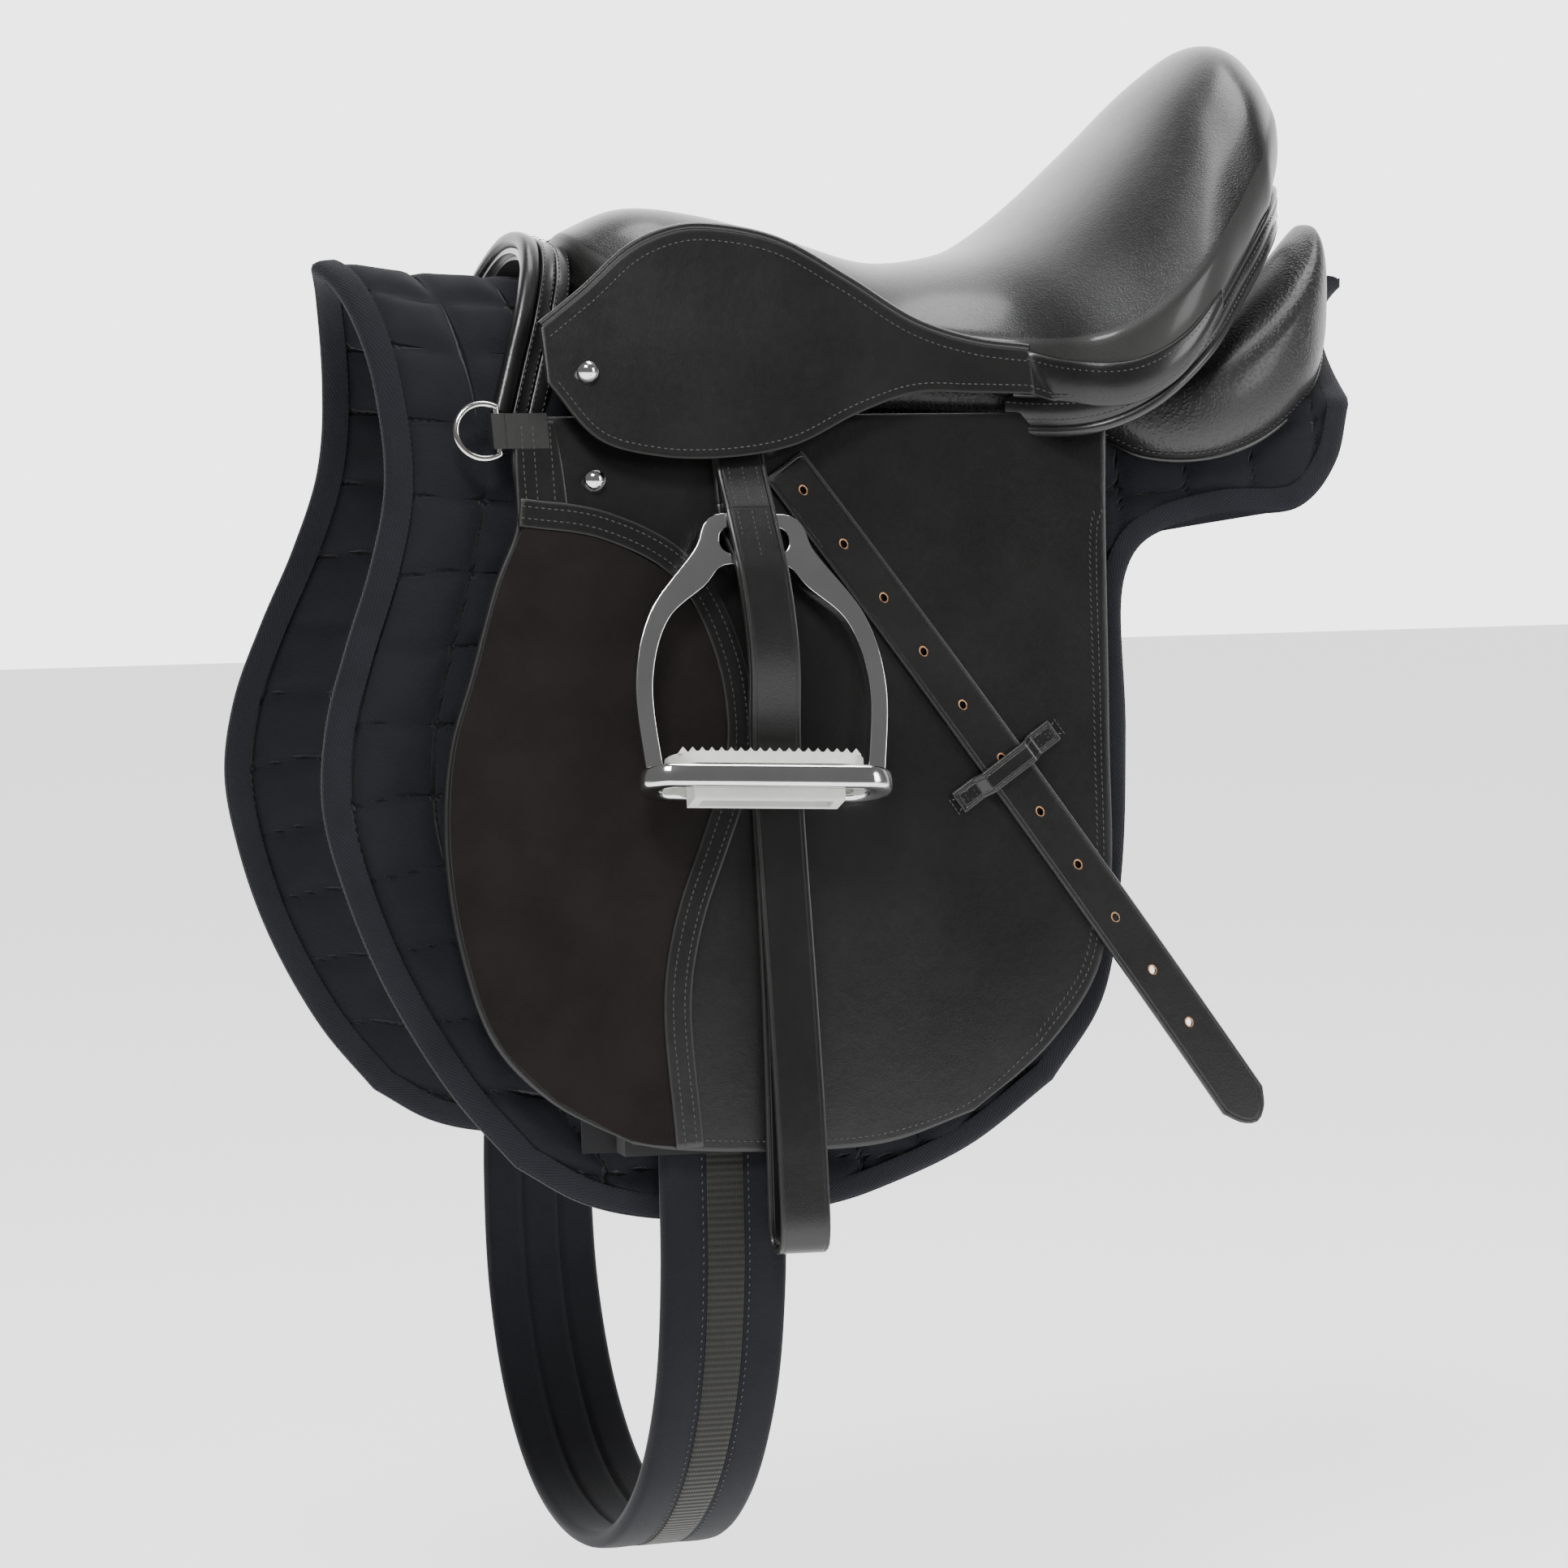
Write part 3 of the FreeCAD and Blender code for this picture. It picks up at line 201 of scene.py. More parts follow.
def faceOut(piece):
    pick(piece)
    bpy.ops.object.mode_set(mode="EDIT")
    bpy.ops.mesh.select_all(action="SELECT")
    bpy.ops.mesh.remove_doubles(threshold=0.00002)
    bpy.ops.mesh.normals_make_consistent(inside=False)
    bpy.ops.object.mode_set(mode="OBJECT")


def slab(name, across, along, outer, inner, flat, rim=None, round=0.8):
    # a sheet with two faces: outer and inner give the place of each from u and v
    piece, spots = newGrid(name, across, along)
    pattern = np.array([flat(u, v) for u, v in spots])
    setPoints(piece, [outer(u, v) for u, v in spots])
    setCloth(piece, pattern * mm)
    edge = rimDistance(pattern, rim) if rim is not None else np.array([clamp(min(u, 1 - u))
            for u, v in spots])
    note(piece, "edge", edge * mm)
    modify(piece, "SOLIDIFY", thickness=0.001, offset=-1)
    setPoints(piece, [outer(u, v) for u, v in spots] + [inner(u, v) for u, v in spots])
    if round:
        modify(piece, "BEVEL", width=round * mm, segments=2, limit_method="ANGLE",
               angle_limit=math.radians(55))
    smooth(piece)
    return piece


def tube(name, path, radius, sides=10, flatten=1.0, ups=None, closed=False):
    # a round or flattened bar along a path; ups say which way its width lies
    path = [Vector(p) for p in path]
    piece, spots = newGrid(name, sides, len(path) - 1)
    count = len(path)
    points = []
    for u, v in spots:
        i = min(int(round(v * (count - 1))), count - 1)
        along = (path[min(i + 1, count - 1)] - path[max(i - 1, 0)]).normalized()
        up = Vector(ups[i]) if ups is not None else Vector((0.13, 0.3, 1))
        right = along.cross(up).normalized()
        up = right.cross(along).normalized()
        size = radius(i / (count - 1)) if callable(radius) else radius
        angle = 2 * math.pi * u
        points.append(path[i] + (right * math.cos(angle) + up * math.sin(angle) * flatten) * size)
    setPoints(piece, points)
    note(piece, "edge", [0.01] * len(points))
    pick(piece)
    bpy.ops.object.mode_set(mode="EDIT")
    bpy.ops.mesh.select_all(action="SELECT")
    bpy.ops.mesh.remove_doubles(threshold=0.00001)
    if not closed:
        pickOpenEdges()
        bpy.ops.mesh.edge_face_add()
    bpy.ops.mesh.select_all(action="SELECT")
    bpy.ops.mesh.normals_make_consistent(inside=False)
    bpy.ops.object.mode_set(mode="OBJECT")
    smooth(piece, 60)
    return piece


def joinPieces(name, pieces):
    deselect()
    for piece in pieces:
        piece.select_set(True)
    bpy.context.view_layer.objects.active = pieces[0]
    if len(pieces) > 1:
        bpy.ops.object.join()
    pieces[0].name = name
    return pieces[0]


def otherSide(piece, name):
    # the same piece on the off side of the horse
    twin = piece.copy()
    twin.data = piece.data.copy()
    twin.name = name
    bpy.context.scene.collection.objects.link(twin)
    twin.data.transform(Matrix.Scale(-1, 4, Vector((0, 1, 0))))
    twin.data.flip_normals()
    return twin


# finishes
class Wire:
    # one output of a node, with the sums that shaders are written in
    def __init__(self, look, socket):
        self.look, self.socket = look, socket

    def sum(self, operation, *values):
        return self.look.node("ShaderNodeMath", {"operation": operation}, *values)

    def __add__(self, other):
        return self.sum("ADD", self, other)

    def __radd__(self, other):
        return self.sum("ADD", other, self)

    def __sub__(self, other):
        return self.sum("SUBTRACT", self, other)

    def __rsub__(self, other):
        return self.sum("SUBTRACT", other, self)

    def __mul__(self, other):
        return self.sum("MULTIPLY", self, other)

    def __rmul__(self, other):
        return self.sum("MULTIPLY", other, self)

    def away(self, value):
        return self.sum("ABSOLUTE", self - value)

    def sine(self):
        return self.sum("SINE", self)

    def rampTo(self, low, high):
        # 0 below low, 1 above high, smooth between
        return self.look.node("ShaderNodeMapRange", {"interpolation_type": "SMOOTHSTEP"}, self, low, high,
                              0.0, 1.0)


class Look:
    def __init__(self, name, **fixed):
        self.material = bpy.data.materials.new(name)
        self.material.use_nodes = True
        self.nodes = self.material.node_tree.nodes
        self.shader = self.nodes["Principled BSDF"]
        for key, value in fixed.items():
            self.shader.inputs[key.replace("_", " ")].default_value = value

    def node(self, kind, settings=None, *values, out=0, **named):
        made = self.nodes.new(kind)
        for key, value in (settings or {}).items():
            setattr(made, key, value)
        sockets = [s for s in made.inputs if s.enabled]
        given = list(zip(sockets, values)) + [(made.inputs[k.replace("_", " ")], v)
                                              for k, v in named.items()]
        for socket, value in given:
            if isinstance(value, Wire):
                self.material.node_tree.links.new(value.socket, socket)
            elif value is not None:
                socket.default_value = value
        return Wire(self, [s for s in made.outputs if s.enabled][out])

    def feed(self, name, wire):
        self.material.node_tree.links.new(wire.socket, self.shader.inputs[name])

    def place(self):
        return self.node("ShaderNodeTexCoord", out=3)

    def pattern(self):
        # the piece's own flat pattern, in metres
        split = self.node("ShaderNodeSeparateXYZ", None, self.node("ShaderNodeUVMap"))
        return split, Wire(self, split.socket.node.outputs[1])

    def noise(self, scale, detail=3.0, rough=0.55, where=None):
        return self.node("ShaderNodeTexNoise", None, where or self.place(), Scale=scale, Detail=detail,
                         Roughness=rough)

    def grain(self, scale, where=None):
        return self.node("ShaderNodeTexVoronoi", None, where or self.place(), Scale=scale)

    def mix(self, share, first, second):
        made = self.nodes.new("ShaderNodeMix")
        made.data_type = "RGBA"
        for socket, value in ((made.inputs[0], share), (made.inputs[6], first), (made.inputs[7], second)):
            if isinstance(value, Wire):
                self.material.node_tree.links.new(value.socket, socket)
            else:
                socket.default_value = value
        return Wire(self, made.outputs[2])

    def bump(self, height, depth, strength=1.0, under=None):
        made = self.node("ShaderNodeBump", None, Strength=strength, Distance=depth, Height=height)
        if under is not None:
            self.material.node_tree.links.new(under.socket, made.socket.node.inputs["Normal"])
        return made

    def read(self, name):
        return self.node("ShaderNodeAttribute", {"attribute_name": name}, out=2)


def grey(value, tint):
    return (value * (1 + tint), value, value * (1 - tint), 1)


warm = 0.02             # how much redder than bluer leather is
leatherDepth = 0.45     # how dark the dye is under the surface shine


def leather(name, tone, rough, grainSize, grainDepth, crease=0.0, coat=0.25, wrinkle=0.0):
    tone *= leatherDepth
    look = Look(name, Specular_IOR_Level=0.42, Coat_Weight=coat, Coat_Roughness=0.18)
    cloud = look.noise(14)
    fine = look.noise(260, 2.0)
    edge = look.read("edge")
    worn = 1 - edge.rampTo(0.0004, 0.0016)
    base = look.mix(cloud.rampTo(0.35, 0.7), grey(tone, warm), grey(tone * 1.45, warm))
    look.feed("Base Color", look.mix(worn * (0.35 + 0.5 * fine), base, grey(tone * 4.0, 0.05)))
    look.feed("Roughness", rough - 0.06 + 0.12 * cloud + 0.07 * fine + 0.2 * worn)
    pebble = look.grain(1 / grainSize).rampTo(0.05, 0.6)
    height = look.bump(1 - pebble, grainDepth, 0.8)
    height = look.bump(look.noise(620, 2.0), 0.00003, 0.7, height)
    if wrinkle:
        height = look.bump(look.noise(38, 4.0, 0.6), wrinkle, 0.8, height)
    if crease:
        groove = edge.away(crease).rampTo(0.0002, 0.0009)
        height = look.bump(groove, 0.0005, 0.9, height)
    look.feed("Normal", height)
    return look.material


def suede(name):
    look = Look(name, Roughness=0.93, Sheen_Weight=0.08, Sheen_Roughness=0.5, Specular_IOR_Level=0.15)
    nap = look.noise(900, 3.0, 0.7)
    cloud = look.noise(26, 4.0)
    speck = look.grain(420).rampTo(0.02, 0.16)
    base = look.mix(cloud.rampTo(0.3, 0.72), (0.0058, 0.0044, 0.0040, 1), (0.0092, 0.0071, 0.0063, 1))
    dust = (1 - speck) * nap.rampTo(0.5, 0.75)
    look.feed("Base Color", look.mix(dust * 0.4, base, (0.07, 0.062, 0.057, 1)))
    height = look.bump(nap, 0.00035, 0.9)
    look.feed("Normal", look.bump(cloud, 0.0009, 0.5, height))
    return look.material


def twill(name, pitch, tone, depth, sheen=0.25, lighter=1.9, quilted=False):
    # woven in steep diagonal lines, from the piece's own flat pattern
    look = Look(name, Roughness=0.88, Sheen_Weight=sheen, Sheen_Roughness=0.45, Specular_IOR_Level=0.2)
    u, v = look.pattern()
    turn = 2 * math.pi / pitch
    diagonal = ((u * turn * 0.5 + v * turn).sine() + 1) * 0.5
    cross = ((u * turn * 2.1).sine() + 1) * 0.5
    fluff = look.noise(1400, 2.0)
    cloud = look.noise(30, 3.0)
    rib = diagonal * 0.7 + cross * 0.3
    colour = [c * lighter for c in tone[:3]] + [1]
    base = look.mix((rib * 0.55 + fluff * 0.5).rampTo(0.2, 0.9), tone, colour)
    base = look.mix(cloud.rampTo(0.4, 0.75) * 0.35, base, [c * 0.55 for c in tone[:3]] + [1])
    height = look.bump(rib, depth, 0.7)
    if quilted:
        # thread lies in the seams, which the mesh has pinched already; a band along each seam is darkened
        # as painted shade
        seam = look.read("seam")
        crease = 1 - seam.rampTo(0.0003, 0.0016)
        dashes = ((u + v) * (2 * math.pi / 0.0042)).sine().rampTo(-0.2, 0.3)
        # painted shade: the band along each seam is darkened in the base colour
        base = look.mix(crease * 0.85, base, [c * 0.18 for c in tone[:3]] + [1])
        base = look.mix((1 - seam.rampTo(0.0001, 0.0005)) * dashes * 0.8, base,
                        [c * 6 for c in tone[:3]] + [1])
        height = look.bump(1 - crease, 0.002, 1.0, height)
    look.feed("Base Color", base)
    look.feed("Normal", look.bump(fluff, 0.00008, 0.5, height))
    return look.material


def ribbedWebbing(name, pitch, tone):
    look = Look(name, Roughness=0.82, Sheen_Weight=0.15, Specular_IOR_Level=0.35)
    wide, long = look.pattern()
    rib = ((long * (2 * math.pi / pitch)).sine() + 1) * 0.5
    thread = ((wide * (2 * math.pi / (pitch * 0.42))).sine() + 1) * 0.5
    shade = rib * 0.75 + thread * 0.25
    look.feed("Base Color", look.mix(shade.rampTo(0.1, 0.9), [c * 0.35 for c in tone[:3]] + [1], tone))
    look.feed("Normal", look.bump(shade, 0.0005, 0.9))
    return look.material


def polished(name, tone, rough, tint=(1.0, 1.0, 1.0)):
    look = Look(name, Metallic=1.0)
    smear = look.noise(22, 3.0)
    scratch = look.noise(700, 2.0)
    light = [tone * c for c in tint] + [1]
    dark = [tone * 0.82 * c for c in tint] + [1]
    look.feed("Base Color", look.mix(smear.rampTo(0.35, 0.75), light, dark))
    look.feed("Roughness", rough + 0.07 * smear.rampTo(0.4, 0.8) + 0.03 * scratch)
    look.feed("Normal", look.bump(smear, 0.0004, 0.25, look.bump(scratch, 0.00002, 0.5)))
    return look.material


def plain(name, tone, rough, size, depth, spread=1.5):
    # rubber, foam, wood or thread: one tone with a fine uneven surface
    look = Look(name)
    cloud = look.noise(size, 3.0)
    fine = look.noise(size * 18, 2.0)
    look.feed("Base Color", look.mix(cloud.rampTo(0.3, 0.75), tone,
                                     [min(c * spread, 1) for c in tone[:3]] + [1]))
    look.feed("Roughness", rough - 0.05 + 0.12 * fine)
    look.feed("Normal", look.bump(fine, depth, 0.6))
    return look.material


finish = {
    "smooth_leather": leather("smoothLeather", 0.0085, 0.29, 0.0009, 0.00003, wrinkle=0.0004),
    "strap_leather": leather("strapLeather", 0.009, 0.31, 0.0011, 0.00004, crease=0.0022, wrinkle=0.0002),
    "seat_leather": leather("seatLeather", 0.0085, 0.33, 0.0012, 0.00008, coat=0.3, wrinkle=0.0003),
    "panel_leather": leather("panelLeather", 0.013, 0.42, 0.0019, 0.00028, coat=0.18, wrinkle=0.0008),
    "rolled_leather": leather("rolledLeather", 0.012, 0.34, 0.001, 0.00005, coat=0.3, wrinkle=0.0005),
    "suede": suede("suede"),
    "quilted_cotton": twill("quiltedCotton", 0.0011, (0.0052, 0.0055, 0.0078, 1), 0.00018, 0.1,
                            quilted=True),
    "binding": twill("bindingTwill", 0.0015, (0.0062, 0.0066, 0.0092, 1), 0.00035, 0.1, 2.2),
    "girth_padding": twill("girthPadding", 0.0012, (0.0055, 0.0058, 0.0078, 1), 0.00016, 0.1),
    "girth_webbing": ribbedWebbing("girthWebbing", 0.0036, (0.014, 0.014, 0.010, 1)),
    "pad_webbing": ribbedWebbing("padWebbing", 0.0024, (0.02, 0.02, 0.022, 1)),
    "polished_steel": polished("polishedSteel", 0.80, 0.09),
    "nickel": polished("nickel", 0.72, 0.13, (1.0, 0.98, 0.94)),
    "bar_steel": polished("barSteel", 0.5, 0.34),
    "tread_rubber": plain("treadRubber", (0.62, 0.62, 0.585, 1), 0.5, 90, 0.00006, spread=1.12),
    "seat_foam": plain("seatFoam", (0.4, 0.36, 0.26, 1), 0.95, 260, 0.0004),
    "tree": plain("treeWood", (0.3, 0.19, 0.09, 1), 0.6, 60, 0.0001),
    "thread": plain("thread", (0.03, 0.03, 0.031, 1), 0.5, 900, 0.00003),
    "rawEdge": plain("rawHoleEdge", (0.33, 0.17, 0.075, 1), 0.75, 700, 0.00005),
}
print("finishes made:", len(finish))


def closeUp(piece, angle):
    faceOut(piece)
    smooth(piece, angle)


def wear(piece, name):
    piece.data.materials.clear()
    piece.data.materials.append(finish[name])
    return piece


def hang(piece, body, bend=None):
    # bend: the two bodies it turns between and the heights where that starts and ends; these are not used,
    # and a piece given a bend is only baked in place on no body
    if bend:
        first, last, high, low = bend
        high * mm
        low * mm
        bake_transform(piece)
    else:
        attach(piece, body)


def sided(word, hand):
    return word if word == "saddle" or word == "girth" else word + "_" + hand


def both(piece, name, body=None, bend=None, stands=()):
    # puts a near side piece and its off side twin in place: on their bodies, or baked in place on no body
    # when a bend is given
    piece.name = name + "_left"
    twin = otherSide(piece, name + "_right")
    for item, hand in ((piece, "left"), (twin, "right")):
        turn = (sided(bend[0], hand), sided(bend[1], hand), bend[2], bend[3]) if bend else None
        hang(item, sided(body, hand) if body else None, turn)
        if stands:
            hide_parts(*[sided(node, hand) for node in stands])
    return piece, twin


# stitches: one is modelled, and the rows are copies of it
deselect()
bpy.ops.mesh.primitive_uv_sphere_add(segments=6, ring_count=4, radius=1)
oneStitch = bpy.context.object
stitchPoints = np.array([v.co for v in oneStitch.data.vertices])
stitchFaces = [list(f.vertices) for f in oneStitch.data.polygons]
bpy.data.objects.remove(oneStitch)
stitchSize = {"pitch": 3.4, "length": 2.5, "width": 0.75, "height": 0.55}


def stitchRow(line, outward, pitch=None, slant=0.0, size=1.0):
    # line: points along the seam; outward: the way the leather faces at each; gives each stitch's corners
    line = np.array([list(p) for p in line]) / mm
    run = np.concatenate([[0], np.cumsum(np.linalg.norm(np.diff(line, axis=0), axis=1))])
    step = (pitch or stitchSize["pitch"])
    places = np.arange(step / 2, run[-1], step)
    normals = np.array([list(n) for n in outward])
    corners = []
    for at in places:
        point = np.array([np.interp(at, run, line[:, k]) for k in range(3)])
        ahead = np.array([np.interp(min(at + 1, run[-1]), run, line[:, k]) for k in range(3)])
        behind = np.array([np.interp(max(at - 1, 0), run, line[:, k]) for k in range(3)])
        up = np.array([np.interp(at, run, normals[:, k]) for k in range(3)])
        up /= np.linalg.norm(up)
        along = ahead - behind
        along -= up * (along @ up)
        along /= np.linalg.norm(along)
        across = np.cross(up, along)
        along = along * math.cos(slant) + across * math.sin(slant)
        across = np.cross(up, along)
        scale = np.array([stitchSize["length"], stitchSize["width"], stitchSize["height"]]) * size / 2
        corners.append(point + (stitchPoints * scale) @ np.array([along, across, up]))
    return corners


def sew(name, rows, material="thread"):
    blocks = [block for row in rows for block in row]
    faces = []
    for i in range(len(blocks)):
        faces += [[k + i * len(stitchPoints) for k in face] for face in stitchFaces]
    mesh = bpy.data.meshes.new(name)
    mesh.from_pydata((np.vstack(blocks) * mm).tolist(), [], faces)
    mesh.update()
    piece = bpy.data.objects.new(name, mesh)
    bpy.context.scene.collection.objects.link(piece)
    mesh.polygons.foreach_set("use_smooth", [True] * len(mesh.polygons))
    piece.data.materials.append(finish[material])
    return piece


def sideRow(points, off, count=240, **options):
    # a row of stitches drawn flat on the side, as x and z
    line = smoothLine(points, count)
    offs = [off(x, z) if callable(off) else off for x, z in line]
    placed = [onSide(x, z, o) for (x, z), o in zip(line, offs)]
    outward = []
    for (x, z), o in zip(line, offs):
        a = onSide(x + 1, z, o) - onSide(x - 1, z, o)
        b = onSide(x, z + 1, o) - onSide(x, z - 1, o)
        outward.append(a.cross(b).normalized())
    return stitchRow(placed, outward, **options)


def inset(points, distance):
    # the same open line moved sideways in its own plane
    line = smoothLine(points, 120)
    step = np.gradient(line, axis=0)
    step /= np.linalg.norm(step, axis=1)[:, None]
    return line + distance * np.stack([-step[:, 1], step[:, 0]], axis=1)


# quilted pad: one piece over the spine
padOutline = {
    "hem": [(-196, -378), (-162, -398), (-128, -407), (-85, -409), (-29, -404), (2, -395), (46, -376),
            (91, -344)],
    "rear": [(91, -344), (120, -302), (134, -234), (141, -162), (147, -84), (161, -63), (202, -50),
             (250, -46),
             (273, -23), (286, 12), (308, 56), (333, 90)],
    "front": [(-196, -378), (-228, -340), (-260, -285), (-279, -235), (-288, -193), (-284, -152),
              (-271, -112),
              (-255, -71), (-244, -30), (-244, 12), (-254, 58), (-264, 90)],
    "spine": [(-264, 90), (34, 90), (333, 90)],
    "spineHeights": [(-340, 93), (-264, 87), (-200, 80), (-150, 77), (-100, 60), (-40, 46), (60, 42),
                     (150, 44),
                     (220, 56), (290, 70), (360, 81)],
    "cell": 38, "bindingWide": 13, "seamDeep": 4.6, "thick": 10, "edgeThick": 5,
}
spineLine = smoothLine(padOutline["spineHeights"], 200)
padPatch = Patch(padOutline["hem"], padOutline["rear"], padOutline["spine"], padOutline["front"])
frontEdge = smoothLine(padOutline["front"], 100)


def overSpine(x, h, off):
    # h is the height on the side up to 10, and from there to 90 it runs over the back to the spine
    if h <= 10:
        return onSide(x, h, off)
    w = (h - 10) / 80
    top = float(np.interp(x, spineLine[:, 0], spineLine[:, 1])) + off
    start = np.array([-(85 + side["flare"] * x + off), 10.0])
    ridge = np.array([-35.0 - off * 0.4, top - 23.0])
    end = np.array([0.0, top])
    control = 2 * ridge - (start + end) / 2
    y, z = (1 - w) ** 2 * start + 2 * w * (1 - w) * control + w * w * end
    return Vector((x, y, z)) * mm


def quilt(x, h):
    # how full the cell is (0 on a seam, 1 in its middle), and how far the seam is
    run = h if h <= 10 else 10 + (h - 10) * 1.3
    lead = float(np.interp(h, frontEdge[:, 1], frontEdge[:, 0]))
    fade = clamp((x - lead) / 420)
    column = (x - lead * (1 - fade) + 244 * fade - padOutline["bindingWide"]) / padOutline["cell"]
    row = (run + 2.5 * math.sin(x / 29) + 1.5 * math.sin(x / 11 + run / 40)) / padOutline["cell"]
    far = min(abs(column - round(column)), abs(row - round(row))) * padOutline["cell"]
    return 1 - math.exp(-far / 5.5), far


padPiece, padSpots = newGrid("quiltedPad", 168, 264)
# v runs from the near hem over the spine to the off hem
flatSpots = np.array([padPatch.at(u, 2 * v if v <= 0.5 else 2 - 2 * v) for u, v in padSpots])
padRim = np.vstack([padPatch.edges[3][::-1], padPatch.edges[0], padPatch.edges[1]])
padEdge = rimDistance(flatSpots, padRim)
outerPoints, innerPoints, seams = [], [], []
for (u, v), (x, h), edge in zip(padSpots, flatSpots, padEdge):
    flip = -1 if v > 0.5 else 1
    puff, far = quilt(x, h)
    seams.append(far * mm)
    full = ease(edge / 16)
    half = padOutline["edgeThick"] / 2 + (padOutline["thick"] - padOutline["edgeThick"]) / 2 * full
    swell = padOutline["seamDeep"] * (puff - 0.62) * full
    outer = overSpine(x, h, -padOutline["thick"] / 2 + half + swell)
    inner = overSpine(x, h, -padOutline["thick"] / 2 - half - swell * 0.8)
    outerPoints.append((outer.x, outer.y * flip, outer.z))
    innerPoints.append((inner.x, inner.y * flip, inner.z))
setPoints(padPiece, outerPoints)
setCloth(padPiece, flatSpots * mm)
note(padPiece, "edge", padEdge * mm)
note(padPiece, "seam", seams)
modify(padPiece, "SOLIDIFY", thickness=0.001, offset=-1)
setPoints(padPiece, outerPoints + innerPoints)
smooth(padPiece, 60)
wear(padPiece, "quilted_cotton")
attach(padPiece, "saddle")
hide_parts("pad_left", "pad_right")


# the twill binding that closes the pad's edge all round
def bindingLoop():
    front = [(x, h, 1) for x, h in padPatch.edges[3][::-1]]
    hem = [(x, h, 1) for x, h in padPatch.edges[0]]
    rear = [(x, h, 1) for x, h in padPatch.edges[1]]
    near = front + hem[1:] + rear[1:]
    return near + [(x, h, -1) for x, h, _ in reversed(near[:-1])][:-1]


bindingPath = bindingLoop()
bindingSection = [(1.0, 1.1, 1), (0.55, 1.6, 1), (0.08, 1.2, 1), (-0.1, 0.0, 0), (0.08, 1.2, -1),
                  (0.55, 1.6, -1),
                  (1.0, 1.1, -1)]
loopCount = len(bindingPath)
flatPath = np.array([(x, h) for x, h, _ in bindingPath])


def bindingSpot(i, k):
    x, h, flip = bindingPath[i % loopCount]
    ahead, behind = bindingPath[(i + 1) % loopCount], bindingPath[(i - 1) % loopCount]
    run = np.array([ahead[0] - behind[0], ahead[1] - behind[1]])
    if ahead[2] != behind[2] or np.linalg.norm(run) < 1e-6:
        run = np.array([0.0, -1.0 if x < 0 else 1.0]) * flip
    run /= np.linalg.norm(run)
    inward = np.array([-run[1], run[0]]) * (1 if flip > 0 else -1)
    deep, lift, face = bindingSection[k]
    wide = padOutline["bindingWide"]
    px, ph = x + inward[0] * deep * wide, min(h + inward[1] * deep * wide, 90)
    full = ease(max(deep, 0) * wide / 16)
    half = padOutline["edgeThick"] / 2 + (padOutline["thick"] - padOutline["edgeThick"]) / 2 * full
    point = overSpine(px, ph, -padOutline["thick"] / 2 + face * (half + lift))
    return Vector((point.x, point.y * flip, point.z))


binding, spots = newGrid("padBinding", len(bindingSection) - 1, loopCount)
lengths = np.concatenate([[0], np.cumsum(np.linalg.norm(np.diff(np.vstack([flatPath, flatPath[:1]]),
        axis=0), axis=1))])
points, flats = [], []
for u, v in spots:
    i, k = int(round(v * loopCount)), int(round(u * (len(bindingSection) - 1)))
    points.append(bindingSpot(i, k))
    flats.append((lengths[i] * mm, u * 30 * mm))
setPoints(binding, points)
setCloth(binding, flats)
note(binding, "edge", [0.005] * len(points))
faceOut(binding)
modify(binding, "SOLIDIFY", thickness=0.0007, offset=0)
modify(binding, "SUBSURF", levels=1, render_levels=1)
smooth(binding, 80)
wear(binding, "binding")
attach(binding, "saddle")
print("pad quilted and bound")

# flaps
flapShape = {
    "bottom": [(-142, -365), (-119, -369), (-48, -372), (-5, -369), (39, -355)],
    "rear": [(39, -355), (80, -323), (108, -286), (118, -244), (123, -160), (131, -55), (138, 6)],
    "front": [(-142, -365), (-184, -342), (-212, -312), (-227, -267), (-233, -213), (-228, -164),
              (-214, -124),
              (-198, -79), (-184, -48), (-183, -13), (-180, 6)],
    "top": [(-180, 6), (-20, 6), (138, 6)],
    "off": 20, "thick": 4,
}
flapPatch = Patch(flapShape["bottom"], flapShape["rear"], flapShape["top"], flapShape["front"])


def sideSheet(name, patch, off, thick, across=60, along=60, round=0.8):
    # off may be a number or a rule from x and z, and is the outer face's
    def stand(x, z):
        return off(x, z) if callable(off) else off
    return slab(name, across, along,
                lambda u, v: onSide(*patch.at(u, v), stand(*patch.at(u, v))),
                lambda u, v: onSide(*patch.at(u, v), stand(*patch.at(u, v)) - thick),
                lambda u, v: patch.at(u, v), patch.rim(), round)


def flapOff(x, z):
    # the sheet swells over the knee roll and the straps under it
    knee = math.exp(-((x + 170) / 42) ** 2 - ((z + 180) / 110) ** 2)
    strap = math.exp(-((x + 30) / 55) ** 2 - ((z + 20) / 60) ** 2)
    return flapShape["off"] + 0.3 * knee + 0.25 * strap


flap = sideSheet("flap", flapPatch, flapOff, flapShape["thick"], 90, 90, 1.2)
wear(flap, "smooth_leather")
both(flap, "flapSheet", bend=("saddle", "flap", -33, -43), stands=("flap_top", "flap"))

# the knee patch of suede and the double-stitched welt along it
weltLine = [(-184, -48), (-141, -55), (-104, -76), (-86, -114), (-82, -155), (-87, -180), (-97, -205),
            (-115, -250),
            (-123, -291), (-119, -368)]
patchShape = {
    "bottom": [(-182, -341), (-142, -363), (-119, -367)],
    "rear": [(-119, -367), (-123, -291), (-115, -250), (-97, -205), (-87, -180), (-82, -155), (-86, -114),
             (-104, -76)],
    "top": [(-181, -49), (-141, -56), (-104, -76)],
    "front": [(-182, -341), (-210, -311), (-225, -267), (-231, -213), (-226, -164), (-212, -124),
              (-196, -79),
              (-181, -49)],
    "thick": 2.1, "swell": 1.6,
}
kneePatch = Patch(patchShape["bottom"], patchShape["rear"], patchShape["top"], patchShape["front"])
kneeRim = kneePatch.rim()


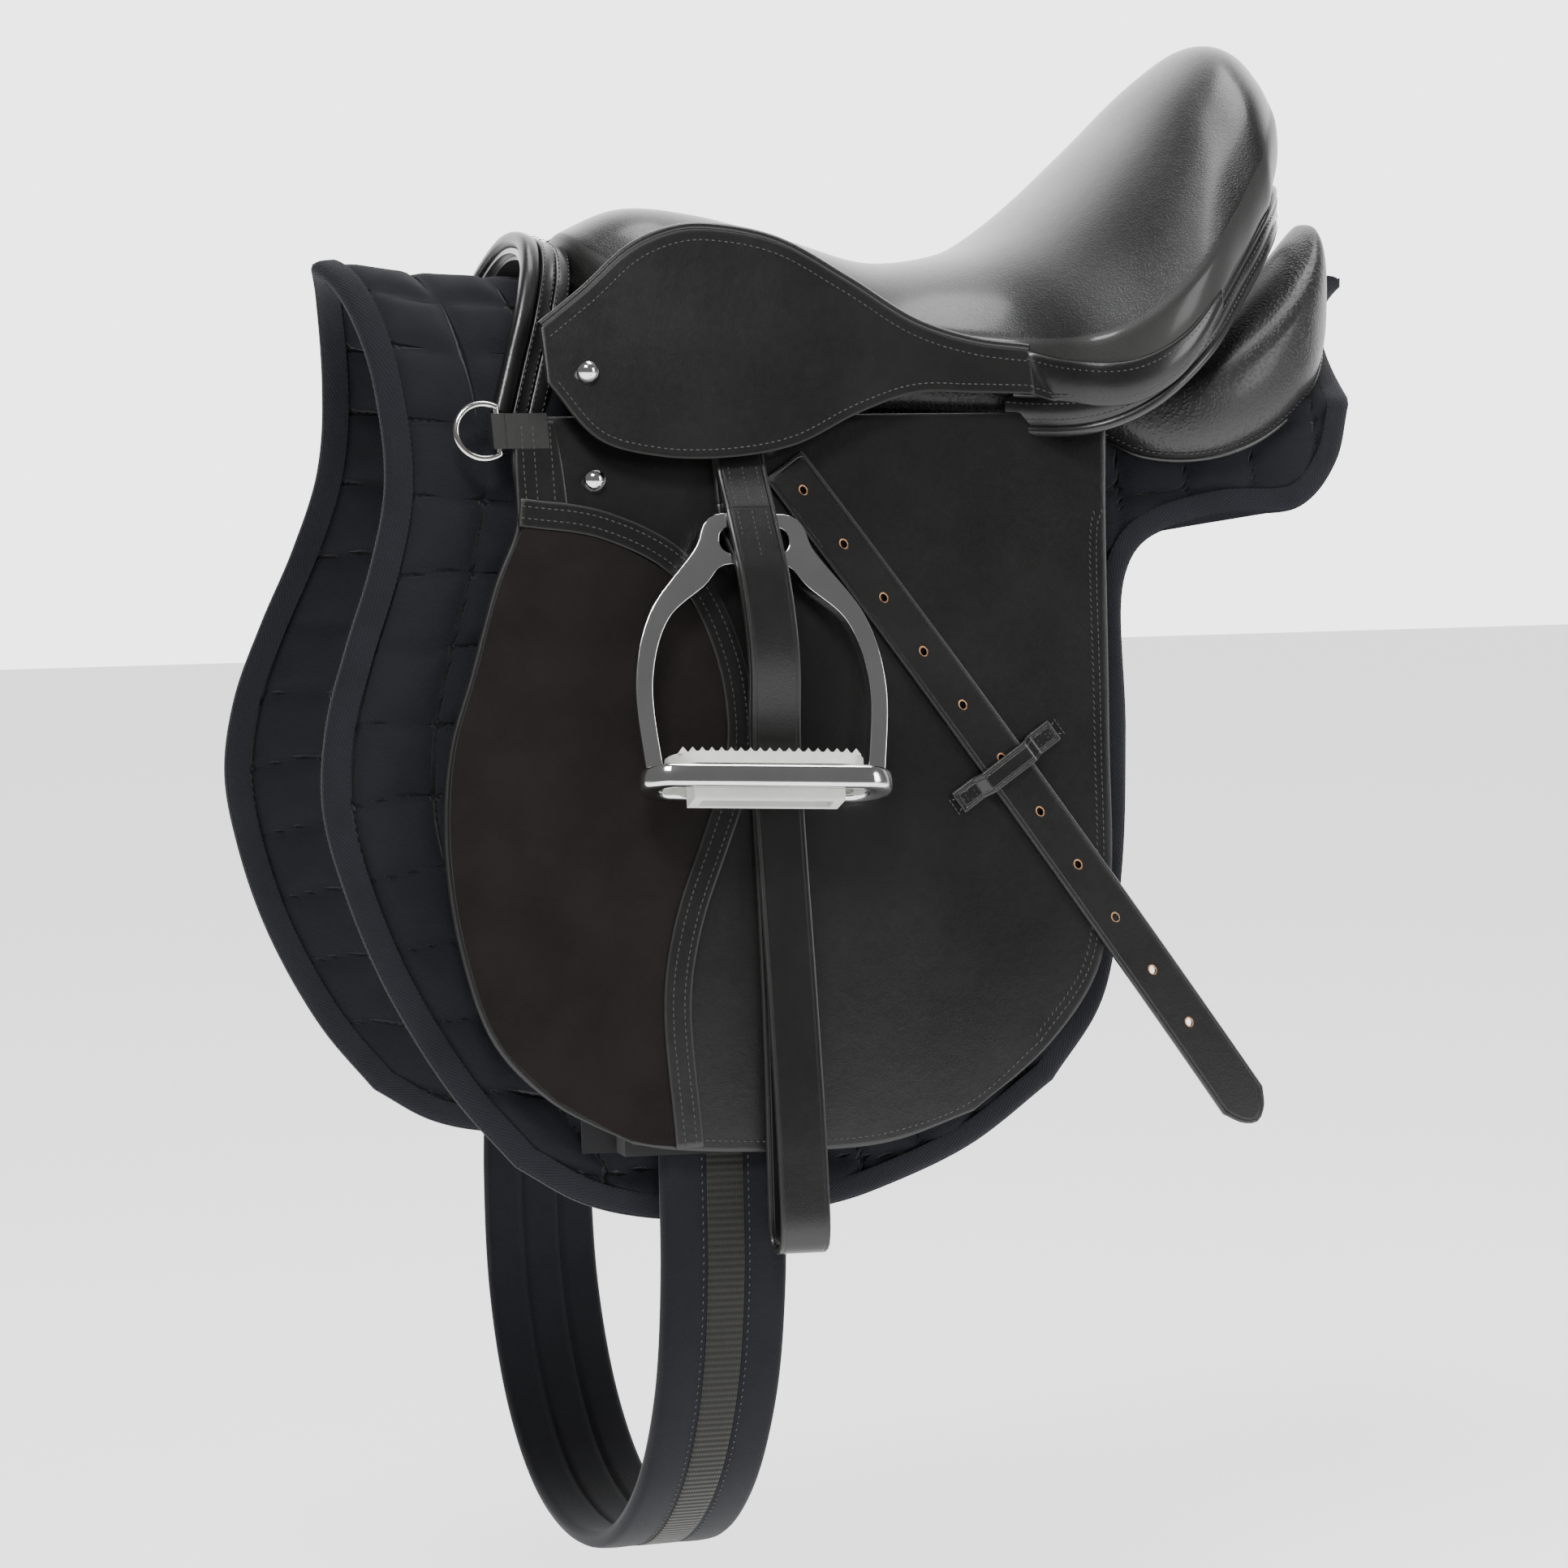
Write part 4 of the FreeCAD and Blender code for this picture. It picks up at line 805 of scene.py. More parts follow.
@functools.lru_cache(None)
def kneeOff(x, z):
    edge = rimDistance(np.array([[x, z]]), kneeRim[::6])[0]
    return flapShape["off"] + 0.35 + patchShape["thick"] + patchShape["swell"] * ease(edge / 26)


kneeSheet = sideSheet("kneePatch", kneePatch, kneeOff, patchShape["thick"], 48, 70, 0.9)
wear(kneeSheet, "suede")
both(kneeSheet, "kneePatch", body="flap", stands=("knee_patch",))

weltShape = {"wide": 13, "thick": 1.3}
innerWelt, outerWelt = inset(weltLine, -1.5), inset(weltLine, weltShape["wide"])
weltPatch = Patch([innerWelt[0], outerWelt[0]], outerWelt[::4], [innerWelt[-1], outerWelt[-1]],
                  innerWelt[::4])
welt = sideSheet("weltStrip", weltPatch, flapShape["off"] + 0.3 + 3.2, weltShape["thick"] + 1.6, 8, 120,
                 0.6)
wear(welt, "smooth_leather")
both(welt, "weltStrip", body="flap")
weltRows = [sideRow(inset(weltLine, d), flapShape["off"] + 3.6) for d in (3.2, 9.2)]
both(sew("weltStitches", weltRows), "weltStitches", body="flap")

flapRows = []
rearLine = flapShape["rear"][1:-1] + [(134, -48)]
flapRows.append(sideRow(inset(rearLine, 5), flapShape["off"] + 0.15))
flapRows.append(sideRow(inset(rearLine, 8.5), flapShape["off"] + 0.15, slant=0.5))
flapRows.append(sideRow(inset([(-112, -369), (-48, -372), (-5, -369), (39, -355), (80, -323)], 5),
                        flapShape["off"] + 0.15))
both(sew("flapStitches", flapRows), "flapStitches", body="flap")

# the folded strip at the flap's front, by the ring
stripThick = 2.2
stripPatch = Patch([(-184, -46), (-170, -50), (-157, -52)], [(-157, -52), (-158, -20), (-160, 4)],
                   [(-181, 4), (-170, 4), (-160, 4)], [(-184, -46), (-183, -20), (-181, 4)])
strip = sideSheet("frontStrip", stripPatch, flapShape["off"] + 2.3, stripThick, 14, 26, 0.8)
wear(strip, "smooth_leather")
both(strip, "frontStrip", body="saddle")
stripRows = [sideRow([(x, 2), (x - 0.6, -20), (x - 1, -44)], flapShape["off"] + 2.45)
             for x in (-178, -172, -163)]
both(sew("stripStitches", stripRows), "stripStitches", body="saddle")
print("flaps made")

# skirts
skirtShape = {
    "top": [(-165, 52), (-140, 70), (-112, 92), (-90, 101), (-72, 103), (-34, 96), (2, 75), (35, 53),
            (65, 43),
            (95, 39)],
    "bottom": [(-165, 24), (-142, -5), (-112, -14), (-74, -15), (-38, -9), (-2, 7), (30, 17), (60, 17),
               (95, 16)],
    "inTop": 25.4, "inBottom": 33, "thick": 3.5,
}
skirtPatch = Patch(skirtShape["bottom"], [(95, 16), (95, 39)], skirtShape["top"], [(-165, 24), (-165, 52)])


def skirtOff(x, z):
    return skirtShape["inTop"] + (skirtShape["inBottom"] - skirtShape["inTop"]) * (110
            - z) / 132 + skirtShape["thick"]


skirt = sideSheet("skirt", skirtPatch, skirtOff, skirtShape["thick"], 110, 44, 1.1)
wear(skirt, "smooth_leather")
both(skirt, "skirtSheet", bend=("saddle", "skirt", 22, 12), stands=("skirt_top", "skirt"))
lowRow = inset(skirtShape["bottom"], 4.5)
lowRow = [p for p in lowRow if p[0] > -160]
skirtRows = [sideRow(lowRow, lambda x, z: skirtOff(x, z) + 0.15)]
both(sew("skirtLowStitches", skirtRows), "skirtLowStitches", bend=("saddle", "skirt", 22, 12))
highRow = inset(skirtShape["top"], -6)
both(sew("skirtTopStitches", [sideRow(highRow, lambda x, z: skirtOff(x, z) + 0.15)]), "skirtTopStitches",
     body="saddle")
weltPath = [onSide(x, z, skirtOff(x, z) - 1.5) for x,
            z in smoothLine([(x, z + 1.2) for x, z in skirtShape["top"]], 120)]
skirtWelt = wear(tube("skirtWelt", weltPath, 2.2 * mm, 10), "rolled_leather")
both(skirtWelt, "skirtWelt", body="saddle")
print("skirts made")

# seat
seatShape = {
    "rows": [(-128, 100, 46, 78), (-95, 113, 52, 84), (-54, 110, 58, 80), (-3, 97, 66, 68),
             (44, 84, 84, 52),
             (92, 88, 113, 44), (122, 100, 142, 46), (152, 122, 148, 58), (187, 155, 140, 84),
             (217, 186, 118, 114),
             (243, 203, 96, 142), (260, 198, 72, 152), (271, 182, 48, 152)],
}
seatLine = smoothLine(seatShape["rows"], 300)


def seatAt(x):
    return [float(np.interp(x, seatLine[:, 0], seatLine[:, k])) for k in (1, 2, 3)]


def seatTop(x, y):
    top, half, rim = seatAt(x)
    share = clamp(abs(y) / half)
    dish = 2.5 * ease((x - 150) / 60) * math.exp(-((share - 0.78) / 0.16) ** 2)
    return rim + (top - rim) * (1 - share ** 2.2) + dish


sideLine = [(x, -seatAt(x)[1]) for x in (-112, -95, -54, -3, 44, 92, 122, 152, 187, 217, 240)]
seatPlan = Patch([(-112, -seatAt(-112)[1]), (-124, -30), (-128, 0), (-124, 30), (-112, seatAt(-112)[1])],
                 [(x, -y) for x, y in sideLine],
                 [(240, -seatAt(240)[1]), (261, -62), (270, -30), (271, 0), (270, 30), (261, 62),
                  (240, seatAt(240)[1])],
                 sideLine)
seat, spots = newGrid("seat", 44, 72)
plan = [seatPlan.at(u, v) for u, v in spots]
setPoints(seat, [Vector((x, y, seatTop(x, y))) * mm for x, y in plan])
note(seat, "edge", rimDistance(np.array(plan), seatPlan.rim()) * mm)
pick(seat)
bpy.ops.object.mode_set(mode="EDIT")
pickOpenEdges()
for drop, grow in ((4, 1.012), (10, 1.006), (11, 1.0), (6, 0.985), (2, 0.86)):
    bpy.ops.mesh.extrude_edges_move()
    bpy.ops.transform.translate(value=(0, 0, -drop * mm))
    bpy.ops.transform.resize(value=(grow, grow, 1), center_override=(0.08, 0, 0.1))
bpy.ops.mesh.edge_face_add()
bpy.ops.mesh.poke()
bpy.ops.mesh.select_all(action="SELECT")
bpy.ops.mesh.normals_make_consistent(inside=False)
bpy.ops.object.mode_set(mode="OBJECT")
modify(seat, "SUBSURF", levels=1, render_levels=1)
smooth(seat, 70)
wear(seat, "seat_leather")
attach(seat, "saddle")
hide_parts("seat_cover")

# the band and the piping that run round the cantle under the seat
rimPath = smoothLine([(84, -seatAt(84)[1] - 3)] + [(x, y) for x, y in sideLine if x > 90]
                     + [(261, -62), (270, -30), (271, 0), (270, 30), (261, 62)]
                     + [(x, -y) for x, y in reversed(sideLine) if x > 90] + [(84, seatAt(84)[1] + 3)], 240)
outwardRim = np.gradient(rimPath, axis=0)
outwardRim /= np.linalg.norm(outwardRim, axis=1)[:, None]
outwardRim = np.stack([outwardRim[:, 1], -outwardRim[:, 0]], axis=1)
bandShape = {"drop": 29, "tall": 16, "out": 1.5, "thick": 3, "piping": 3}


def rimSpot(i, down, out):
    x, y = rimPath[i] + outwardRim[i] * out
    return Vector((x, y, seatAt(rimPath[i][0])[2] - down)) * mm


def bandFace(out):
    def place(u, v):
        i = int(round(v * 240))
        down = bandShape["drop"] + bandShape["tall"] * u
        return rimSpot(i, down, out + 1.6 * math.sin(math.pi * u))
    return place


band = slab("cantleBand", 8, 240, bandFace(bandShape["out"]),
            bandFace(bandShape["out"] - bandShape["thick"]),
            lambda u, v: (u * 16, v * 900), None, 0.5)
note(band, "edge", [0.006] * len(band.data.vertices))
faceOut(band)
wear(band, "smooth_leather")
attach(band, "saddle")
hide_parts("cantle_band")
bandRows = []
for down in (4, 12.5):
    line = [rimSpot(i, bandShape["drop"] + down, bandShape["out"] + 1.5) for i in range(241)]
    bandRows.append(stitchRow(line, [(outwardRim[i][0], outwardRim[i][1], 0) for i in range(241)]))
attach(sew("cantleStitches", bandRows), "saddle")
pipingLine = [rimSpot(i, bandShape["drop"] + bandShape["tall"] + 2.5, 0.5) for i in range(4, 237)]
piping = wear(tube("cantlePiping", pipingLine, bandShape["piping"] * mm, 12), "rolled_leather")
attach(piping, "saddle")
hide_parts("cantle_piping")
seatWelt = wear(tube("seatWelt", [rimSpot(i, 28.5, 1.2) for i in range(2, 239)], 1.8 * mm, 10),
                "rolled_leather")
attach(seatWelt, "saddle")
print("seat made")

# panels
panelShape = {
    "rows": [(-150, 68, 40, 8), (-100, 79, 48, 6), (-40, 86, 46, 2), (40, 98, 36, 0), (100, 106, 30, -4),
             (138, 112, 28, -10), (161, 128, 26, -22), (191, 136, 36, -25), (226, 132, 56, -18),
             (260, 117, 82, 2),
             (281, 92, 102, 26), (289, 64, 106, 46)],
    "inner": 25, "square": 2.9,
}
panelLine = smoothLine(panelShape["rows"], 300)
reachShape = {"high": [(92, 39.2), (110, 34), (140, 34), (170, 47), (198, 72)],
              "low": [(92, 16), (110, 11), (140, 11), (170, 26), (198, 58)], "thick": 3}
reachHigh, reachLow = smoothLine(reachShape["high"], 60), smoothLine(reachShape["low"], 60)


def reachFace(inward):
    def place(u, v):
        i = int(round(v * 60))
        x, z = reachHigh[i] * (1 - u) + reachLow[i] * u
        wide = seatAt(x)[1] + 3.6 + 1.8 * math.sin(math.pi * u)
        start = -onSide(x, z, skirtOff(x, z)).y / mm
        over = max(wide - start, 0) if x < 140 else wide - start
        return Vector((x, -(start + over) + inward, z)) * mm
    return place


reach = slab("skirtReach", 8, 60, reachFace(0), reachFace(reachShape["thick"]),
             lambda u, v: (u * 24, v * 120), longSides(0, 24), 0.9)
closeUp(reach, 40)
wear(reach, "smooth_leather")
reachRows = [stitchRow([reachFace(0)(u, i / 60) for i in range(61)], [(0, -1, 0)] * 61)
             for u in (0.2, 0.82)]
both(sew("reachStitches", reachRows), "reachStitches", body="saddle")
both(reach, "skirtReach", body="saddle")


def panelRing(v, angle):
    x, outer, top, low = [float(np.interp(v, np.linspace(0, 1, 301), panelLine[:, k])) for k in range(4)]
    close = 1 - 0.9 * clamp((v - 0.965) / 0.035) ** 3
    middleY, halfY = -(outer + panelShape["inner"]) / 2, (outer - panelShape["inner"]) / 2 * close
    middleZ, halfZ = (top + low) / 2, (top - low) / 2 * close
    c, s = math.cos(angle), math.sin(angle)
    power = 2 / panelShape["square"]
    y = middleY + halfY * math.copysign(abs(c) ** power, c)
    z = middleZ + halfZ * math.copysign(abs(s) ** power, s)
    return Vector((x, y, z)) * mm


panel, spots = newGrid("panel", 40, 90)
setPoints(panel, [panelRing(v, 2 * math.pi * u) for u, v in spots])
note(panel, "edge", [0.02] * len(spots))
pick(panel)
bpy.ops.object.mode_set(mode="EDIT")
bpy.ops.mesh.select_all(action="SELECT")
bpy.ops.mesh.remove_doubles(threshold=0.00001)
pickOpenEdges()
bpy.ops.mesh.edge_face_add()
bpy.ops.mesh.poke()
bpy.ops.mesh.select_all(action="SELECT")
bpy.ops.mesh.normals_make_consistent(inside=False)
bpy.ops.object.mode_set(mode="OBJECT")
modify(panel, "SUBSURF", levels=1, render_levels=1)
smooth(panel, 70)
wear(panel, "panel_leather")
near, far = both(panel, "panelCushion", body="saddle", stands=("panel",))
seamAngle = math.radians(180 + 50)
seamLine = [panelRing(v, seamAngle) for v in np.linspace(0.3, 0.985, 120)]
both(wear(tube("panelWelt", seamLine, 1.7 * mm, 8), "rolled_leather"), "panelWelt", body="saddle")
seamRow = [panelRing(v, math.radians(180 + 38)) + Vector((0, -0.0004, 0))
           for v in np.linspace(0.3, 0.98, 160)]
both(sew("panelStitches", [stitchRow(seamRow, [(0, -1, -0.3)] * 160)]), "panelStitches", body="saddle")
print("panels made")

# pommel bands
archShape = {
    "line": [(-74, -98), (-64.5, -68.6), (-56.3, -43.1), (-42, -18.6), (-22.5, -3.9), (0, 0), (22.5, -3.9),
             (42, -18.6), (56.3, -43.1), (64.5, -68.6), (74, -98)],
    "lean": 19.5, "apex": (-153, 102),
    "bands": {"pommelRoll": ("pommel_roll", -1, 10, 9, 0), "pommelStrip": ("pommel_strip", 9.3, 8, 7, 0),
              "pommelBand": ("pommel_band", 17.6, 9, 6, 1)},
}
archLine = smoothLine(archShape["line"], 120)
archStep = np.gradient(archLine, axis=0)
archStep /= np.linalg.norm(archStep, axis=1)[:, None]


def archSpot(i, along, deep):
    y, z = archLine[i] + np.array([archStep[i][1], -archStep[i][0]]) * deep
    lean = math.radians(archShape["lean"])
    return Vector((archShape["apex"][0] + along * math.cos(lean) + z * math.sin(lean), y,
                   archShape["apex"][1] - along * math.sin(lean) + z * math.cos(lean))) * mm


for name, (node, start, wide, thick, deep) in archShape["bands"].items():
    piece, spots = newGrid(name, 20, 120)
    power = 0.75 if name == "pommelRoll" else 0.42
    points = []
    for u, v in spots:
        i = int(round(v * 120))
        c, s = math.cos(2 * math.pi * u), math.sin(2 * math.pi * u)
        along = start + wide / 2 + wide / 2 * math.copysign(abs(c) ** power, c)
        down = deep + thick / 2 - thick / 2 * math.copysign(abs(s) ** power, s)
        if name == "pommelStrip":
            down += 0.9 * math.exp(-(c / 0.55) ** 2) * clamp(s)
        points.append(archSpot(i, along, down))
    setPoints(piece, points)
    note(piece, "edge", [0.01] * len(points))
    closeUp(piece, 60)
    wear(piece, "rolled_leather")
    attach(piece, "saddle")
    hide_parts(node)
archRows = []
for along, deep in ((10.6, -0.2), (16.2, -0.2), (19.4, 0.8), (25.0, 0.8)):
    archRows.append(stitchRow([archSpot(i, along, deep) for i in range(121)],
                              [archSpot(i, along, deep - 5) - archSpot(i, along, deep)
                               for i in range(121)]))
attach(sew("pommelStitches", archRows), "saddle")
print("pommel made")

# stirrup leathers
strapShape = {"wide": 26, "thick": 3.2, "front": -73, "backMid": 22.1, "frontMid": 25.8}
backMid, frontMid = strapShape["backMid"], strapShape["frontMid"]


def level(off, z):
    # a stand-off that stays level with the bar while the side leans
    return off + halfWidth(22) - halfWidth(z), z


foldRoute = [(backMid, -40), (backMid, -17), (backMid, -11), (backMid - 4, 3), level(20.5 - 5.2, 20)]
foldRoute += [level(20.5 + 5.2 * math.cos(math.radians(a)), 28.5 + 5.2 * math.sin(math.radians(a)))
              for a in (180, 135, 90, 45, 0)]
foldRoute += [level(20.5 + 5.2, 22), (frontMid, 2), (frontMid + 0.2, -9), (frontMid + 1, -17),
              (frontMid + 4.5, -28),
              (frontMid + 9.5, -39.5), (frontMid + 10.6, -42)]
loopRoute = [(frontMid + 9.5, -39.5), (frontMid + 13, -50), (frontMid + 16, -62), (frontMid + 18, -74),
             (frontMid + 14, -110), (frontMid + 4.5, -150), (frontMid + 1, -175), (frontMid + 0.6, -205),
             (frontMid + 3, -250), (frontMid + 8, -310), (frontMid + 14, -370)]
loopRoute += [(33.3 + 9 * math.cos(math.radians(a)), -412 - 9 * math.sin(math.radians(a)))
              for a in (0, 45, 90, 135, 180)]
loopRoute += [(backMid + 0.7, -391), (backMid + 0.2, -370), (backMid + 0.2, -310), (backMid + 0.2, -250),
              (backMid + 0.2, -205), (backMid + 0.4, -178), (backMid + 3, -152), (backMid + 14, -110),
              (backMid + 17.5, -76), (backMid + 16.5, -69), (backMid + 9, -60), (backMid + 2.6, -54),
              (backMid + 0.6, -49), (backMid + 0.1, -44), (backMid, -39.5)]


def strapAlong(name, route, count, front=strapShape["front"]):
    line = smoothLine(route, count)
    placed = np.array([list(onSide(0, z, off)) for off, z in line]) / mm
    run = np.concatenate([[0], np.cumsum(np.linalg.norm(np.diff(placed, axis=0), axis=1))])

    def face(sign):
        def place(u, v):
            i = int(round(v * count))
            a, b = placed[max(i - 1, 0)], placed[min(i + 1, count)]
            step = (b - a) / np.linalg.norm(b - a)
            out = np.array([0, -step[2], step[1]]) * sign * strapShape["thick"] / 2
            x = front + strapShape["wide"] * u - 6 * ease((line[i][1] + 135) / 95)
            point = placed[i] + out
            return Vector((x, point[1] - side["flare"] * x, point[2])) * mm
        return place
    piece = slab(name, 10, count, face(1), face(-1), lambda u,
                 v: (u * strapShape["wide"], run[int(round(v * count))]),
                 longSides(0, strapShape["wide"]),
                 0.9)
    faceOut(piece)
    smooth(piece)
    return piece, placed


strapTop, _ = strapAlong("strapTop", foldRoute, 110)
wear(strapTop, "strap_leather")
both(strapTop, "strapTop", bend=("saddle", "flap", -19, -37), stands=("leather_top",))
strapLoop, _ = strapAlong("strapLoop", loopRoute, 260)
wear(strapLoop, "strap_leather")
both(strapLoop, "strapLoop", bend=("flap", "stirrup", -39.6, -45), stands=("leather_loop",))
frontRun = smoothLine([(frontMid + 1, -17), (frontMid + 4.5, -28), (frontMid + 9.5, -39.5),
                       (frontMid + 13, -50),
                       (frontMid + 16, -62), (frontMid + 17, -68)], 60)


def runStitches(low, high):
    rows = []
    for across, last in ((-67.5, -56), (-60, -67), (-52.5, -56)):
        line = [(off + 1.75, z) for off, z in frontRun if high >= z >= max(last, low)]
        if len(line) > 2:
            placed = [onSide(across - 6 * ease((z + 135) / 95), z, off) for off, z in line]
            rows.append(stitchRow(placed, [(0, -1, 0.25)] * len(placed), pitch=3.0, size=0.9))
    return rows


both(sew("strapStitchesHigh", runStitches(-40, -19)), "strapStitchesHigh",
     bend=("saddle", "flap", -19, -37))
both(sew("strapStitchesLow", runStitches(-70, -42)), "strapStitchesLow", body="stirrup")

# the strap's free end with its holes
tailShape = {"start": (-27, -41), "angle": 56, "length": 392, "first": 24, "pitch": 33.7, "holes": 11,
             "hole": 4.4}
tailTurn = math.radians(tailShape["angle"])


def tailSpot(along, across):
    return (tailShape["start"][0] + math.cos(tailTurn) * along + math.sin(tailTurn) * across,
            tailShape["start"][1] - math.sin(tailTurn) * along + math.cos(tailTurn) * across)


tailPatch = Patch([tailSpot(-26, -13), tailSpot(180, -13), tailSpot(378, -13)],
                  [tailSpot(378, -13), tailSpot(388, -7), tailSpot(392, 0), tailSpot(388, 7),
                   tailSpot(378, 13)],
                  [tailSpot(-26, 13), tailSpot(180, 13), tailSpot(378, 13)],
                  [tailSpot(-26, -13), tailSpot(-26, 0), tailSpot(-26, 13)])


def tailOff(x, z):
    lift = clamp((x - 110) / 90) ** 1.5 * 1.5
    return strapShape["backMid"] + strapShape["thick"] / 2 + lift


tail = slab("strapTail", 130, 12,
            lambda u, v: onSide(*tailPatch.at(u, v), tailOff(*tailPatch.at(u, v))),
            lambda u, v: onSide(*tailPatch.at(u, v), tailOff(*tailPatch.at(u, v)) - strapShape["thick"]),
            lambda u, v: tailPatch.at(u, v), tailPatch.rim(), 0.9)
cutters, rings = [], []
for i in range(tailShape["holes"]):
    x, z = tailSpot(tailShape["first"] + (i - 1) * tailShape["pitch"], 0)
    middle = onSide(x, z, tailOff(x, z) - 1.6)
    deselect()
    bpy.ops.mesh.primitive_cylinder_add(vertices=16, radius=1, depth=1)
    cutter = bpy.context.object
    lie = Matrix.Rotation(tailTurn, 4, "Y")
    cutter.data.transform(Matrix.Diagonal((tailShape["hole"] * 0.62 * mm, tailShape["hole"] * 0.46 * mm,
                                           12 * mm, 1)))
    cutter.data.transform(Matrix.Translation(middle) @ lie @ Matrix.Rotation(math.radians(90), 4, "X"))
    cutters.append(cutter)
    deselect()
    bpy.ops.mesh.primitive_torus_add(major_segments=20, minor_segments=6, major_radius=1, minor_radius=0.16)
    ring = bpy.context.object
    ring.data.transform(Matrix.Diagonal((tailShape["hole"] * 0.62 * mm, tailShape["hole"] * 0.46 * mm,
                                         tailShape["hole"] * 0.9 * mm, 1)))
    ring.data.transform(Matrix.Translation(middle + Vector((0, -1.25 * mm, 0))) @ lie
                        @ Matrix.Rotation(math.radians(90), 4, "X"))
    rings.append(ring)
drills = joinPieces("drills", cutters)
modify(tail, "BOOLEAN", operation="DIFFERENCE", solver="EXACT", object=drills)
bpy.data.objects.remove(drills)
smooth(tail, 35)
wear(tail, "strap_leather")
both(tail, "strapTail", bend=("saddle", "flap", -33, -43), stands=("leather_tail",))
holeRims = joinPieces("holeEdges", rings)
holeRims.data.materials.clear()
holeRims.data.materials.append(finish["rawEdge"])
smooth(holeRims, 80)
both(holeRims, "holeEdges", bend=("saddle", "flap", -33, -43))

# the keeper that holds the free end to the flap
keeperShape = {"at": 164, "wide": 12, "reach": 33, "thick": 2.2}


def keeperFace(drop):
    def place(u, v):
        along = keeperShape["at"] + keeperShape["wide"] * (v - 0.5)
        across = (u - 0.5) * 2 * keeperShape["reach"]
        x, z = tailSpot(along, across)
        over = 1 - ease((abs(across) - 13.5) / 6.5)
        return onSide(x, z, flapShape["off"] + 0.4 + keeperShape["thick"] + over * 4.2 - drop)
    return place


keeperRim = np.array([(-33, -6), (33, -6), (33, 6), (-33, 6), (-33, -6)], float)
keeper = slab("tailKeeper", 60, 8, keeperFace(0), keeperFace(keeperShape["thick"]),
              lambda u, v: ((u - 0.5) * 66, (v - 0.5) * 12), keeperRim, 0.7)
faceOut(keeper)
wear(keeper, "strap_leather")
both(keeper, "tailKeeper", body="flap", stands=("tail_keeper",))
keeperRows = []
for end in (-1, 1):
    for a, b in (((end * 22, -4.5), (end * 36, 4.5)), ((end * 22, 4.5), (end * 36, -4.5)),
                 ((end * 22, -4.5), (end * 22, 4.5)),
                 ((end * 36, -5), (end * 36, 5))):
        ends = [tailSpot(keeperShape["at"] + p[1], p[0]) for p in (a, b)]
        keeperRows.append(sideRow([ends[0], tuple((np.array(ends[0]) + np.array(ends[1])) / 2), ends[1]],
                                  flapShape["off"] + 2.4, 40, pitch=2.6, size=0.9))
both(sew("keeperStitches", keeperRows), "keeperStitches", body="flap")
print("stirrup leathers made")

# stirrup irons
ironShape = {"wide": 132, "tall": 149, "bar": 9, "thick": 9, "eyeWide": 49, "slotWide": 37,
             "slotTall": 14, "deep": 36, "base": 12, "tilt": 21, "roll": 2}
half, eye = ironShape["wide"] / 2, ironShape["eyeWide"] / 2
tall, barSize = ironShape["tall"], ironShape["bar"]


def ringLoop(line, count):
    mirrored = [(-x, z) for x, z in reversed(line)]
    return smoothLine(line + mirrored, count)


outerLine = [(-half + 4, -tall + 2), (-half, -0.6 * tall), (-half + 9, -0.36 * tall), (-eye - 6, -17),
             (-eye - 1.5, -5),
             (-eye + 5, 0), (-8, 0.5)]
innerLine = [(-half + 4 + barSize, -tall + 2), (-half + barSize, -0.6 * tall),
             (-half + 10 + barSize, -0.38 * tall),
             (-eye - 2, -38), (-eye + 6, -28.5), (-eye + 14, -27), (-8, -27)]
steps = 90
outerLoop, innerLoop = ringLoop(outerLine, steps), ringLoop(innerLine, steps)
ironHang = (Matrix.Rotation(-math.atan(side["flare"]), 4,
                            "Z") @ Matrix.Rotation(math.radians(-ironShape["tilt"]), 4, "X")
            @ Matrix.Rotation(math.radians(ironShape["roll"]), 4, "Y"))
ironAt = onSide(-64, -46, 23.7 + 6.5)
arch, spots = newGrid("ironArch", 4, steps)
points = []
for u, v in spots:
    i = int(round(v * steps))
    x, z = outerLoop[i] * (1 - u) + innerLoop[i] * u
    points.append(Vector((x, -ironShape["thick"] / 2, z)) * mm)
setPoints(arch, points)
modify(arch, "SOLIDIFY", thickness=ironShape["thick"] * mm, offset=-1)
faceOut(arch)
deselect()
bpy.ops.mesh.primitive_cube_add(size=1)
slotCutter = bpy.context.object
slotCutter.data.transform(Matrix.Translation((0, 0, -14 * mm)) @ Matrix.Diagonal(
    (ironShape["slotWide"] * mm, 30 * mm, ironShape["slotTall"] * mm, 1)))
modify(slotCutter, "BEVEL", width=6 * mm, segments=5)
modify(arch, "BOOLEAN", operation="DIFFERENCE", solver="EXACT", object=slotCutter)
bpy.data.objects.remove(slotCutter)
modify(arch, "BEVEL", width=3.0 * mm, segments=4, limit_method="ANGLE", angle_limit=math.radians(50))


def stadium(long, deep, count):
    radius, reach = deep / 2, long / 2 - deep / 2
    line = []
    for k in range(count):
        angle = 2 * math.pi * k / count
        c, s = math.cos(angle), math.sin(angle)
        line.append((math.copysign(reach, c) * min(1, abs(c) * 6) + radius * c, radius * s))
    return line


